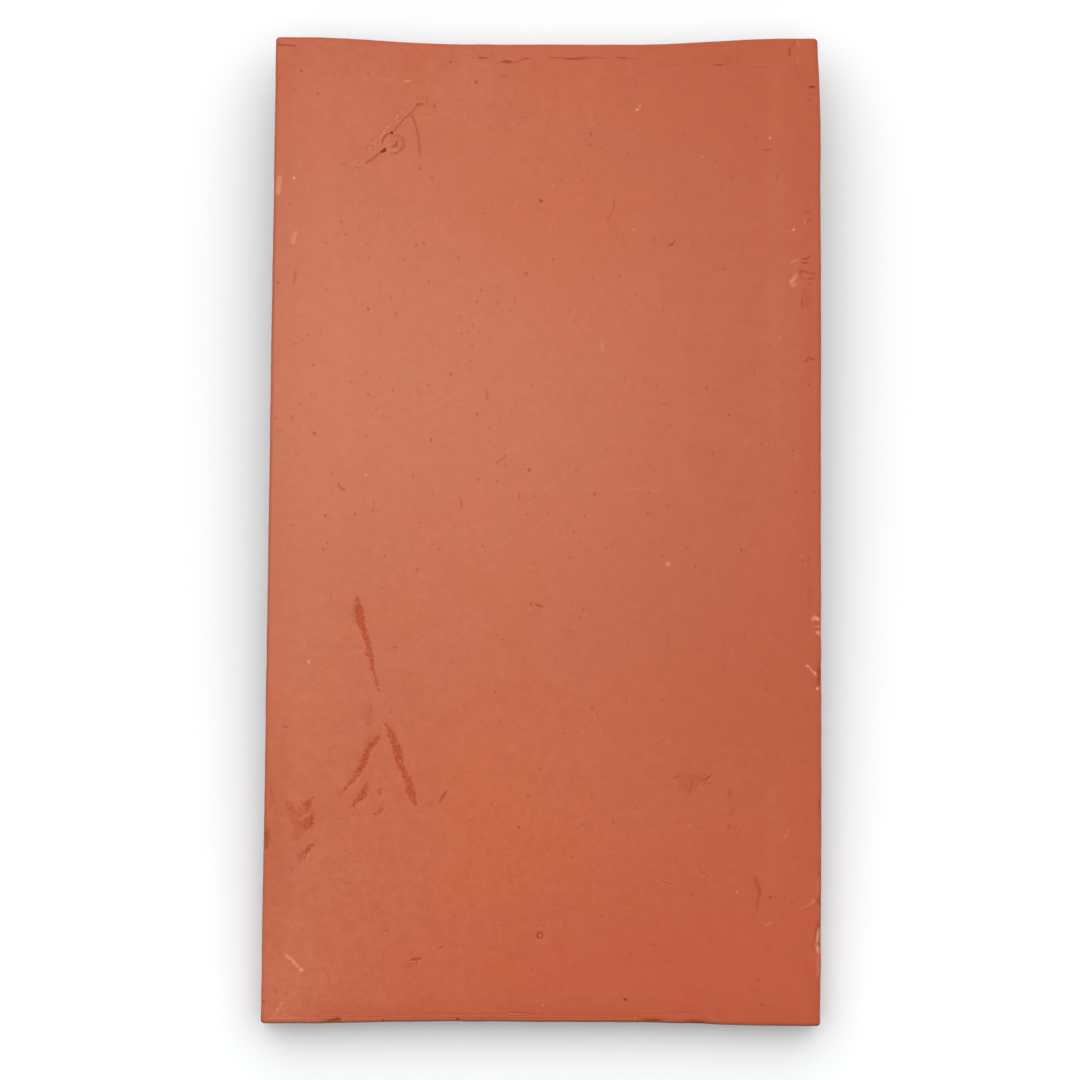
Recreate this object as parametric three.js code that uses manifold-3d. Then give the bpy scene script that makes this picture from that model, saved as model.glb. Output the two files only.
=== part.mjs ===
// Plain clay roof tile with one nib.
//
// A pressed and fired clay slab, a little wider at the tail than at the head, bent so that the middle
// of its length stands proud of its ends. Both ends are drawn in between their corners, every arris
// is rounded, and one nib stands out of the underside at the head, to hook over a roofing batten.
//
// Millimetres. X runs across the tile, +Y points to the head, +Z is up. The tile lies face up as it
// would on a level floor, on the foot of its nib and the lower arris of its tail. The origin is on
// the floor, in the middle of the tile's bounding box.

import * as THREE from 'three';
import { mergeVertices } from 'three/addons/utils/BufferGeometryUtils.js';
import Module from 'manifold-3d';

const wasm = await Module();
wasm.setup();

// --- Slab ----------------------------------------------------------------------------------------
const tileLength = 300; // corner to corner, along the slope of the roof
const headWidth = 166; // at the upper end, which the next course covers
const tailWidth = 170; // at the lower end, which stays in view
const thickness = 12;
const crown = 3; // rise of the middle of the length above the two ends
const arrisRadius = 1.2; // all edges and corners
const headDip = 2; // how far the head's edge is drawn in between its corners
const tailDip = 0.9; // the same at the tail
const dipFlat = 52; // straight bottom of both dips, across the tile
const shoulder = 11; // straight stretch of each end beside its corner

// --- Nib -----------------------------------------------------------------------------------------
const nibWidth = 38; // across the tile, at the root
const nibDepth = 20; // along the tile, at the root
const nibHeight = 13; // below the underside, at the face that bears on the batten
const nibSetback = 9; // from the end of the tile to the nib's root
const nibSideDraft = 1.5; // each side leans in by this much from root to foot
const nibBackDraft = 5; // the side towards the head leans in by this much
const nibCorner = 5; // corners of the nib, seen from below
const nibFillet = 2.5; // hollow where the nib grows out of the underside
const nibFootRadius = 1.6; // edge of the foot
const nibRootDepth = 4; // how far the nib's clay runs up into the slab

// --- Fineness of the mesh ------------------------------------------------------------------------
const acrossSteps = 32;
const alongSteps = 16;
const arrisSteps = 2; // on each face beside an arris
const cornerSteps = 4;
const roundSteps = 4; // nib fillet and foot edge

const halfLength = tileLength / 2;
const halfThickness = thickness / 2;
const bendRadius = (halfLength ** 2 + crown ** 2) / (2 * crown);

// Bends a point of the flat slab, round an axis far below it that runs across the tile.
function bend(point) {
  const turn = point.y / bendRadius;
  const reach = bendRadius + point.z;
  point.y = reach * Math.sin(turn);
  point.z = reach * Math.cos(turn) - bendRadius;
  return point;
}

// Share of an end's dip at a place x across it: 1 over the straight bottom, 0 at the shoulders.
function dipShare(x, endWidth) {
  return 1 - THREE.MathUtils.smoothstep(Math.abs(x), dipFlat / 2, endWidth / 2 - shoulder);
}

// Grid lines along one axis of the slab. Each is a pair: its place in the core of the slab, from
// -1 to 1, and its distance beyond the core, which is where the arrises are rounded.
function gridLines(coreSteps) {
  const beyond = (step) => arrisRadius * Math.tan((step / arrisSteps) * (Math.PI / 4));
  const lines = [];
  for (let step = arrisSteps; step > 0; step--) lines.push([-1, -beyond(step)]);
  for (let step = 0; step <= coreSteps; step++) lines.push([(2 * step) / coreSteps - 1, 0]);
  for (let step = 1; step <= arrisSteps; step++) lines.push([1, beyond(step)]);
  return lines;
}

// The slab starts as a box with a grid on its faces. Every vertex moves to its grid lines in a core
// that has the plan of the tile, then one arris radius out of the core, and is bent last.
function slabGeometry() {
  const lines = [gridLines(acrossSteps), gridLines(alongSteps), gridLines(1)];
  const steps = lines.map((axis) => axis.length - 1);
  const box = new THREE.BoxGeometry(1, 1, 1, ...steps);
  box.deleteAttribute('normal');
  box.deleteAttribute('uv');
  const positions = box.getAttribute('position');
  const point = new THREE.Vector3();
  const outwards = new THREE.Vector3();

  for (let i = 0; i < positions.count; i++) {
    point.fromBufferAttribute(positions, i);
    const [across, along, up] = point.toArray().map((place, axis) => {
      return lines[axis][Math.round((place + 0.5) * steps[axis])];
    });
    const width = THREE.MathUtils.mapLinear(along[0], -1, 1, tailWidth, headWidth);
    point.x = across[0] * (width / 2 - arrisRadius);
    point.y = along[0] * (halfLength - arrisRadius);
    point.z = up[0] * (halfThickness - arrisRadius);
    if (along[0] === 1) point.y -= headDip * dipShare(point.x, headWidth);
    if (along[0] === -1) point.y += tailDip * dipShare(point.x, tailWidth);
    outwards.set(across[1], along[1], up[1]).setLength(arrisRadius);
    bend(point.add(outwards));
    positions.setXYZ(i, point.x, point.y, point.z);
  }
  return mergeVertices(box);
}

// Where the tile rests: the floor touches the round lower arris of the tail, and the underside
// stands one nib height above it where the batten bears on the nib.
const nibFaceY = halfLength - nibSetback - nibDepth;
const tailArris = bend(new THREE.Vector3(0, arrisRadius - halfLength, arrisRadius - halfThickness));
const nibRoot = bend(new THREE.Vector3(0, nibFaceY, -halfThickness));
const span = nibRoot.clone().sub(tailArris);
const restTilt = Math.asin((nibHeight - arrisRadius) / span.length()) - Math.atan2(span.z, span.y);
const restPose = new THREE.Matrix4().makeRotationX(restTilt);
restPose.setPosition(0, 0, arrisRadius - tailArris.clone().applyMatrix4(restPose).z);
const battenFaceY = nibRoot.clone().applyMatrix4(restPose).y;

// Outline of the nib at one height above the floor, counter-clockwise from above: a rectangle with
// round corners. Its side towards the tail is the flat face that bears on the batten, and the other
// three lean in towards the foot. The spread pushes the whole outline out, or in where it is below 0.
function nibOutline(height, spread) {
  const fall = THREE.MathUtils.clamp(1 - height / nibHeight, 0, 1);
  const corner = nibCorner + spread;
  const sideX = nibWidth / 2 - nibSideDraft * fall + spread - corner;
  const frontY = battenFaceY - spread + corner;
  const backY = battenFaceY + nibDepth - nibBackDraft * fall + spread - corner;
  const centres = [[sideX, backY], [-sideX, backY], [-sideX, frontY], [sideX, frontY]];
  return centres.flatMap(([x, y], quarter) => {
    return Array.from({ length: cornerSteps + 1 }, (_, step) => {
      const angle = (quarter + step / cornerSteps) * (Math.PI / 2);
      return new THREE.Vector3(x + corner * Math.cos(angle), y + corner * Math.sin(angle), height);
    });
  });
}

// Skins a stack of outlines, lowest first, and closes both ends.
function loft(outlines) {
  const count = outlines[0].length;
  const top = (outlines.length - 1) * count;
  const index = [];
  for (let start = 0; start < top; start += count) {
    for (let i = 0; i < count; i++) {
      const next = (i + 1) % count;
      index.push(start + i, start + next, start + count + next);
      index.push(start + i, start + count + next, start + count + i);
    }
  }
  for (let i = 1; i < count - 1; i++) {
    index.push(0, i + 1, i);
    index.push(top, top + i, top + i + 1);
  }
  return new THREE.BufferGeometry().setFromPoints(outlines.flat()).setIndex(index);
}

// The nib: a round foot edge, straight sides, then a hollow fillet that ends inside the slab.
function nibGeometry() {
  const fillet = Math.min(nibFillet, nibSetback - headDip - arrisRadius);
  const quarterTurns = Array.from({ length: roundSteps + 1 }, (_, step) => {
    return (step / roundSteps) * (Math.PI / 2);
  });
  const foot = quarterTurns.map((turn) => {
    return nibOutline(nibFootRadius * (1 - Math.cos(turn)), -nibFootRadius * (1 - Math.sin(turn)));
  });
  const root = quarterTurns.map((turn) => {
    return nibOutline(nibHeight - fillet * (1 - Math.sin(turn)), fillet * (1 - Math.cos(turn)));
  });
  return loft([...foot, ...root, nibOutline(nibHeight + nibRootDepth, fillet)]);
}

function toSolid(geometry) {
  const vertProperties = new Float32Array(geometry.getAttribute('position').array);
  const triVerts = new Uint32Array(geometry.getIndex().array);
  return new wasm.Manifold(new wasm.Mesh({ numProp: 3, vertProperties, triVerts }));
}

function toGeometry(solid) {
  const { vertProperties, triVerts } = solid.getMesh();
  const geometry = new THREE.BufferGeometry();
  geometry.setAttribute('position', new THREE.BufferAttribute(vertProperties, 3));
  geometry.setIndex(new THREE.BufferAttribute(triVerts, 1));
  geometry.computeVertexNormals();
  return geometry;
}

// The nib is shaped standing on the floor, so it is turned back into the flat tile's own frame.
function tileGeometry() {
  const nib = nibGeometry().applyMatrix4(restPose.clone().invert());
  return toGeometry(toSolid(slabGeometry()).add(toSolid(nib)));
}

const firedClay = new THREE.MeshStandardMaterial({
  name: 'fired_clay',
  color: 0xc26a4c,
  roughness: 0.82,
  metalness: 0,
});

const tile = new THREE.Mesh(tileGeometry(), firedClay);
tile.name = 'roof_tile';
tile.applyMatrix4(restPose);

const bounds = new THREE.Box3().setFromObject(tile, true);
tile.position.y -= (bounds.min.y + bounds.max.y) / 2;
tile.position.z -= bounds.min.z;

const clayRoofTile = new THREE.Group();
clayRoofTile.name = 'clay_roof_tile';
clayRoofTile.add(tile);

export default clayRoofTile;
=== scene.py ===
# %% [markdown]
# # A plain clay roof tile, as it comes out of the kiln
# The real tile is one piece of clay. A slab is pressed, trimmed at both ends, dried on a curved rack,
# which gives it a slight arch, and fired. One nib under its head hooks over a batten.
#
# Everything here is made round the solid model. It has the right size and shape, but its surface is
# made of large flat facets. So the tile is made again as a fine skin, by the same formulas, and that
# skin gets what a kiln, a mould and hands leave behind: pits, strokes, chips and uneven edges.

from types import SimpleNamespace

import bpy
import numpy as np
from mathutils import Matrix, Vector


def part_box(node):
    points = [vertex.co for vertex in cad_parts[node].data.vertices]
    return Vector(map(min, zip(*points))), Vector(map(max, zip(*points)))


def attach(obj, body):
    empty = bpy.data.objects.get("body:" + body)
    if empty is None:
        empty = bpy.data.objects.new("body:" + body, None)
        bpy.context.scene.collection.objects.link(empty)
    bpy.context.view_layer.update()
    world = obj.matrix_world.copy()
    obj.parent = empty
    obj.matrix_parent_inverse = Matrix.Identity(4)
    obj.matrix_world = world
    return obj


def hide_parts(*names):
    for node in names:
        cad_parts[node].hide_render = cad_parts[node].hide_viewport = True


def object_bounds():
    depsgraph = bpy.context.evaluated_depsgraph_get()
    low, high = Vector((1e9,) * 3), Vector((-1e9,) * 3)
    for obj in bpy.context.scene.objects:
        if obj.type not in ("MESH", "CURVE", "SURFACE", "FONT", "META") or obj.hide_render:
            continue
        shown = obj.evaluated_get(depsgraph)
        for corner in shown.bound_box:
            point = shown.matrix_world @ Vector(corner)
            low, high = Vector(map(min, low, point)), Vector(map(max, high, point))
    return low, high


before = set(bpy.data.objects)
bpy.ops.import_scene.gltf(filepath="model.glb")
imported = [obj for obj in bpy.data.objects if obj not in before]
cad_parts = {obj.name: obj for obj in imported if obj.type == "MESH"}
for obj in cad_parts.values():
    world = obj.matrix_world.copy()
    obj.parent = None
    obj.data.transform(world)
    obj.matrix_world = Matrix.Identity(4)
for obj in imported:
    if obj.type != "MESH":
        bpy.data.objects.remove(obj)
cad_low, cad_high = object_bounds()
node_low, node_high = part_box("roof_tile")
print("solid model, metres:", [round(high - low, 4) for low, high in zip(node_low, node_high)])

# %% [markdown]
# ## The sizes of the tile
# All lengths are in metres. They are the driving sizes of the solid model, so that the skin and the
# solid agree. X runs across the tile, Y along it to the head, and Z up out of the weathered face.

# %% Sizes
MM = 0.001
LENGTH = 300 * MM
HEAD_WIDTH = 166 * MM
TAIL_WIDTH = 170 * MM
THICKNESS = 12 * MM
CROWN = 3 * MM
ARRIS = 1.2 * MM
HEAD_DIP = 2 * MM
TAIL_DIP = 0.9 * MM
DIP_FLAT = 52 * MM
SHOULDER = 11 * MM
NIB_WIDTH = 38 * MM
NIB_DEPTH = 20 * MM
NIB_HEIGHT = 13 * MM
NIB_SETBACK = 9 * MM
NIB_SIDE_DRAFT = 1.5 * MM
NIB_BACK_DRAFT = 5 * MM
NIB_CORNER = 5 * MM
NIB_FILLET = 2.5 * MM
NIB_FOOT_RADIUS = 1.6 * MM

HALF_LENGTH = LENGTH / 2
HALF_THICKNESS = THICKNESS / 2
BEND_RADIUS = (HALF_LENGTH**2 + CROWN**2) / (2 * CROWN)
print("bend radius:", round(BEND_RADIUS, 3))

# %% [markdown]
# ## Bending the slab and laying it down
# Bending could be done with a Simple Deform modifier, but its result would have to be matched to the
# solid by eye. Two short formulas give the same arch as the solid has: each point swings round an
# axis far below the tile, and then the whole tile is tipped until the foot of the nib and the lower
# arris of the tail both touch the floor.


# %% Bend and rest
def bend(flat):
    """Angle is the distance along over the bend radius; each point keeps its height above the arc."""
    angle = flat[:, 1] / BEND_RADIUS
    reach = BEND_RADIUS + flat[:, 2]
    return np.column_stack((flat[:, 0], reach * np.sin(angle), reach * np.cos(angle) - BEND_RADIUS))


def tip(points, angle):
    """Turns points about the X axis: y and z mix by the cosine and sine of the angle."""
    cos, sin = np.cos(angle), np.sin(angle)
    x, y, z = points.T
    return np.column_stack((x, y * cos - z * sin, y * sin + z * cos))


NIB_FACE = HALF_LENGTH - NIB_SETBACK - NIB_DEPTH
touching = bend(np.array([[0, ARRIS - HALF_LENGTH, ARRIS - HALF_THICKNESS], [0, NIB_FACE, -HALF_THICKNESS]]))
span = touching[1] - touching[0]
REST_TILT = np.arcsin((NIB_HEIGHT - ARRIS) / np.linalg.norm(span)) - np.arctan2(span[2], span[1])
LIFT = ARRIS - tip(touching, REST_TILT)[0, 2]
print("tips up at the head by degrees:", round(np.degrees(REST_TILT), 2))

# %% [markdown]
# ## A lattice for the skin
# A box with a fine lattice on its six sides becomes the tile. Along each axis a lattice line has a
# place in the core of the slab, and the outermost lines also have a distance past the core. Pushing
# every point one arris radius out of the core, in the direction it lies past it, rounds all edges
# and corners at once. Lines lie closer together near the edges, where most of the wear is, and in
# the band where someone touched the wet face.

# %% Lattice lines
ARRIS_STEPS = 3
WALL_STEPS = 7
SAMPLES = 4001
FACE_STEP = 1.5 * MM
EDGE_STEP = 0.6 * MM
EDGE_BAND = 7 * MM
TOUCHED_STEP = 0.5 * MM
TOUCHED_ACROSS = (-62 * MM, -34 * MM)
TOUCHED_ALONG = (109 * MM, 134 * MM)


def core_lines(half, touched):
    """A running total of 1 over the wanted step, cut at whole numbers; given as shares of the half length."""
    spots = np.linspace(-half, half, SAMPLES)
    wanted = np.where(half - np.abs(spots) < EDGE_BAND, EDGE_STEP, FACE_STEP)
    wanted = np.where((spots > touched[0]) & (spots < touched[1]), TOUCHED_STEP, wanted)
    total = np.concatenate(([0], np.cumsum(np.diff(spots) / wanted[1:])))
    return np.interp(np.linspace(0, total[-1], round(total[-1]) + 1), total, spots) / half


def lattice_axis(core):
    """Each line's place in the core and its distance past it: radius times a tangent, up to 45 degrees."""
    past = ARRIS * np.tan(np.arange(1, ARRIS_STEPS + 1) / ARRIS_STEPS * np.pi / 4)
    ends = np.ones(ARRIS_STEPS)
    place = np.concatenate((-ends, core, ends))
    return place, np.concatenate((-past[::-1], np.zeros(len(core)), past))


axes = [
    lattice_axis(core_lines(TAIL_WIDTH / 2 - ARRIS, TOUCHED_ACROSS)),
    lattice_axis(core_lines(HALF_LENGTH - ARRIS, TOUCHED_ALONG)),
    lattice_axis(np.linspace(-1, 1, WALL_STEPS + 1)),
]
shape = tuple(len(place) for place, past in axes)
print("lattice lines across, along and up:", shape)

# %% [markdown]
# ## Where the nib grows out of the underside
# The nib could be a second body pushed into the slab, but then a hard line would run round it, and
# the real one is drawn out of the same clay. So a window is left open in the lattice of the
# underside, and its rim is the first ring of the nib. Further rings flare in, go straight down and
# round off to the foot, which a last patch of lattice closes. The skin stays one closed surface.

# %% Number the lattice points and leave the window open
WINDOW_MARGIN = 1.8 * MM


def line_at(axis, half, value):
    """Number of the lattice line that lies nearest to a place along an axis."""
    place, past = axes[axis]
    return int(np.argmin(np.abs(place * (half - ARRIS) + past - value)))


nib_reach = NIB_FILLET + WINDOW_MARGIN
window_x = [line_at(0, TAIL_WIDTH / 2, side * (NIB_WIDTH / 2 + nib_reach)) for side in (-1, 1)]
window_y = [
    line_at(1, HALF_LENGTH, NIB_FACE - nib_reach),
    line_at(1, HALF_LENGTH, NIB_FACE + NIB_DEPTH + nib_reach),
]
surface = np.zeros(shape, bool)
surface[[0, -1]] = True
surface[:, [0, -1]] = True
surface[:, :, [0, -1]] = True
surface[window_x[0] + 1 : window_x[1], window_y[0] + 1 : window_y[1], 0] = False
number = np.full(shape, -1)
number[surface] = np.arange(surface.sum())
lattice = np.nonzero(surface)
place = np.column_stack([axes[axis][0][lattice[axis]] for axis in range(3)])
past = np.column_stack([axes[axis][1][lattice[axis]] for axis in range(3)])
outwards = past / np.linalg.norm(past, axis=1, keepdims=True)
on_face = np.clip(outwards[:, 2], 0, 1)
print("points on the slab:", len(place), "of which on the face:", int((on_face > 0.99).sum()))


# %% Faces of the slab
def quads(grid):
    """Joins each point of a grid to its next in the row, the diagonal one and the next in the column."""
    corners = (grid[:-1, :-1], grid[1:, :-1], grid[1:, 1:], grid[:-1, 1:])
    joined = np.stack(corners, axis=-1).reshape(-1, 4)
    return joined[(joined >= 0).all(axis=1)]


slab_sides = [number[:, :, -1], number[:, :, 0].T, number[-1], number[0].T, number[:, -1].T, number[:, 0]]
slab_quads = np.concatenate([quads(side) for side in slab_sides])
print("four-sided faces of the slab:", len(slab_quads))

# %% [markdown]
# ## Noise, and smooth steps
# Uneven clay needs numbers that look random but change smoothly from place to place, and that come
# out the same every time. Value noise does that: random numbers on the corners of a cubic lattice,
# blended inside each cell. Adding finer and weaker layers makes it rougher.

# %% Noise helpers
NOISE_CELLS = 32
# Each use of the noise has a seed of its own.
SEEDS = {"left": 3, "right": 4, "head": 5, "tail": 6, "hollows": 11, "broken": 17, "uneven": 23}


def smooth(low, high, value):
    """0 below low, 1 above high, and three times the share squared less twice its cube between them."""
    share = np.clip((value - low) / (high - low), 0, 1)
    return share * share * (3 - 2 * share)


def value_noise(points, size, seed):
    """Random numbers from -1 to 1 on lattice corners a size apart, blended by smooth steps in each cell."""
    table = np.random.default_rng(seed).uniform(-1, 1, (NOISE_CELLS,) * 3)
    scaled = points / size
    cell = np.floor(scaled).astype(int)
    share = smooth(0, 1, scaled - cell)
    total = np.zeros(len(points))
    for corner in np.ndindex(2, 2, 2):
        step = np.array(corner)
        weight = np.where(step == 1, share, 1 - share).prod(axis=1)
        total += weight * table[tuple(((cell + step) % NOISE_CELLS).T)]
    return total


def rough_noise(points, size, seed, layers=3):
    """Sum of layers of value noise, each half the size and half the strength of the one before."""
    parts = [value_noise(points, size / 2**layer, seed + layer) / 2**layer for layer in range(layers)]
    return sum(parts) / (2 - 2 ** (1 - layers))


# %% [markdown]
# ## The outline of a tile that was cut by hand
# The solid has the ideal outline: tapered, with both ends drawn in between their corners. On the
# real tile both ends were cut a little out of square, one corner at the head was pushed in while
# the clay was soft, and no edge is quite straight. Nearly all of it takes clay away. Only the right
# side swells a little, near the tail, where the taper leaves room, so the skin stays inside the solid's box.

# %% Outline
HEAD_OUT_OF_SQUARE = 1.0 * MM
TAIL_OUT_OF_SQUARE = 0.55 * MM
CORNER_PUSHED_IN = 1.0 * MM
CORNER_STRETCH = 32 * MM
SIDE_AT = (-1, -0.9, -0.75, -0.5, -0.3, 0.1, 0.6, 1)
LEFT_LOST = np.array((0, 0.06, 0.13, 0.25, 0.3, 0.33, 0.28, 0.2)) * MM
RIGHT_LOST = np.array((0.05, -0.12, -0.18, -0.16, 0.06, 0.24, 0.28, 0.36)) * MM
EDGE_WANDER = 0.16 * MM
LONG_WAVES, SHORT_WAVES = 26 * MM, 5 * MM
LONG_SHARE = 0.55
SHORT_WAVES_SEED = 50
LINES_APART = 0.37
MEAN_WANDER, MOST_WANDER = 0.5, 1.4
END_STRETCH = 45 * MM
EDGE_STRETCH = 6 * MM


def dip_share(x, end_width):
    """1 over the dip's flat bottom, 0 at the shoulders, and a smooth step between them."""
    return 1 - smooth(DIP_FLAT / 2, end_width / 2 - SHOULDER, np.abs(x))


def wander(along, seed):
    """How far an edge strays inwards: rough noise along it, lifted so that it is never below 0."""
    line = np.column_stack((along, np.full(len(along), seed * LINES_APART), np.zeros(len(along))))
    waves = LONG_SHARE * rough_noise(line, LONG_WAVES, seed)
    waves += (1 - LONG_SHARE) * rough_noise(line, SHORT_WAVES, seed + SHORT_WAVES_SEED)
    return EDGE_WANDER * np.clip(MEAN_WANDER + waves, 0, MOST_WANDER)


def outline_core(place):
    """Core point of each lattice point: shares of half the width and length, less what the edges lost."""
    y = place[:, 1] * (HALF_LENGTH - ARRIS)
    share = 0.5 + 0.5 * place[:, 1]
    half = (TAIL_WIDTH + (HEAD_WIDTH - TAIL_WIDTH) * share) / 2 - ARRIS
    left, right = place[:, 0] < 0, place[:, 0] > 0
    pushed = CORNER_PUSHED_IN * np.clip((y - HALF_LENGTH + CORNER_STRETCH) / CORNER_STRETCH, 0, 1) ** 2
    lost = left * np.interp(place[:, 1], SIDE_AT, LEFT_LOST)
    lost += right * (np.interp(place[:, 1], SIDE_AT, RIGHT_LOST) + pushed)
    x = place[:, 0] * (half - lost)
    near_side = smooth(half - EDGE_STRETCH, half, np.abs(x))
    x -= np.sign(x) * near_side * np.where(left, wander(y, SEEDS["left"]), wander(y, SEEDS["right"]))

    head = HEAD_DIP * dip_share(x, HEAD_WIDTH) + HEAD_OUT_OF_SQUARE * (0.5 - x / HEAD_WIDTH)
    tail = TAIL_DIP * dip_share(x, TAIL_WIDTH) + TAIL_OUT_OF_SQUARE * (0.5 + x / TAIL_WIDTH)
    head_stretch = smooth(HALF_LENGTH - END_STRETCH, HALF_LENGTH - ARRIS, y)
    tail_stretch = smooth(HALF_LENGTH - END_STRETCH, HALF_LENGTH - ARRIS, -y)
    near_end = smooth(HALF_LENGTH - EDGE_STRETCH, HALF_LENGTH - ARRIS, np.abs(y))
    y = y - head * head_stretch + tail * tail_stretch
    y -= np.sign(y) * near_end * np.where(y > 0, wander(x, SEEDS["head"]), wander(x, SEEDS["tail"]))
    return np.column_stack((x, y, place[:, 2] * (HALF_THICKNESS - ARRIS)))


flat = outline_core(place) + outwards * ARRIS
print("outline, metres:", np.ptp(flat[:, 0]).round(4), "by", np.ptp(flat[:, 1]).round(4))

# %% [markdown]
# ## Marks, placed one by one
# A real tile is known by its marks: strokes where the wet face was touched, a scratch beside its head,
# hair cracks along the ends, chipped arrises. Painting them on the points of the skin would blur
# them, since the points lie a millimetre apart. So the skin carries distances instead: how far it is
# to the edge of a stroke, or across a hair line. A distance changes evenly from point to point, and
# the material draws a sharp edge wherever it passes a chosen value.
#
# The marks are placed in the camera's square frame, 1080 units wide, with y counted downwards. Radii and
# half widths of strokes and spots are in the same units, and half widths of hair lines are in millimetres.

# %% From the camera's frame to the tile
FRAME_UNITS = 1080
TILE_MIDDLE = np.array((544.5, 531.0))
TILE_LENGTH_UNITS = 987.2
UNIT = LENGTH / TILE_LENGTH_UNITS
TURN = np.radians(0.476)
CAMERA_DISTANCE = 1.3
OUTLINE_DROP = CROWN + ARRIS
FAR = 30 * MM


def on_tile(points):
    """Offset from the tile's middle with y upwards, times the unit, and turned back by how the tile lies.

    The face is nearer to the camera than the outline, so the offset shrinks by the share of the distances.
    The face is also bent: the distance along it is the bend radius times the arcsine of the offset.
    """
    x, y = ((np.atleast_2d(points) - TILE_MIDDLE) * (UNIT, -UNIT)).T
    cos, sin = np.cos(TURN), np.sin(TURN)
    x, y = x * cos - y * sin, x * sin + y * cos
    rise = CROWN - y**2 / (2 * BEND_RADIUS)
    nearer = (CAMERA_DISTANCE - rise) / (CAMERA_DISTANCE + OUTLINE_DROP)
    along = BEND_RADIUS * np.arcsin(y * nearer / (BEND_RADIUS + HALF_THICKNESS))
    return np.column_stack((x * nearer, along))


def capsule_gap(points, start, end, start_radius, end_radius):
    """Distance to the nearest point of a line, less a radius that changes evenly along it."""
    line = end - start
    share = np.clip(((points - start) @ line) / (line @ line), 0, 1)
    nearest = start + share[:, None] * line
    return np.linalg.norm(points - nearest, axis=1) - (start_radius + (end_radius - start_radius) * share)


def strokes_gap(points, strokes):
    """Smallest gap to any capsule of any stroke. A stroke is a list of (x, y, half width), in frame units."""
    gap = np.full(len(points), FAR)
    for stroke in strokes:
        path = on_tile([(x, y) for x, y, radius in stroke])
        radii = [radius * UNIT for x, y, radius in stroke]
        for i in range(len(stroke) - 1):
            gap = np.minimum(gap, capsule_gap(points, path[i], path[i + 1], radii[i], radii[i + 1]))
    return gap


def spots_gap(points, spots):
    """Smallest distance to any spot's middle, less its radius. A spot is (x, y, radius), in frame units."""
    gap = np.full(len(points), FAR)
    for x, y, radius in spots:
        gap = np.minimum(gap, np.linalg.norm(points - on_tile((x, y)), axis=1) - radius * UNIT)
    return gap


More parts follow.
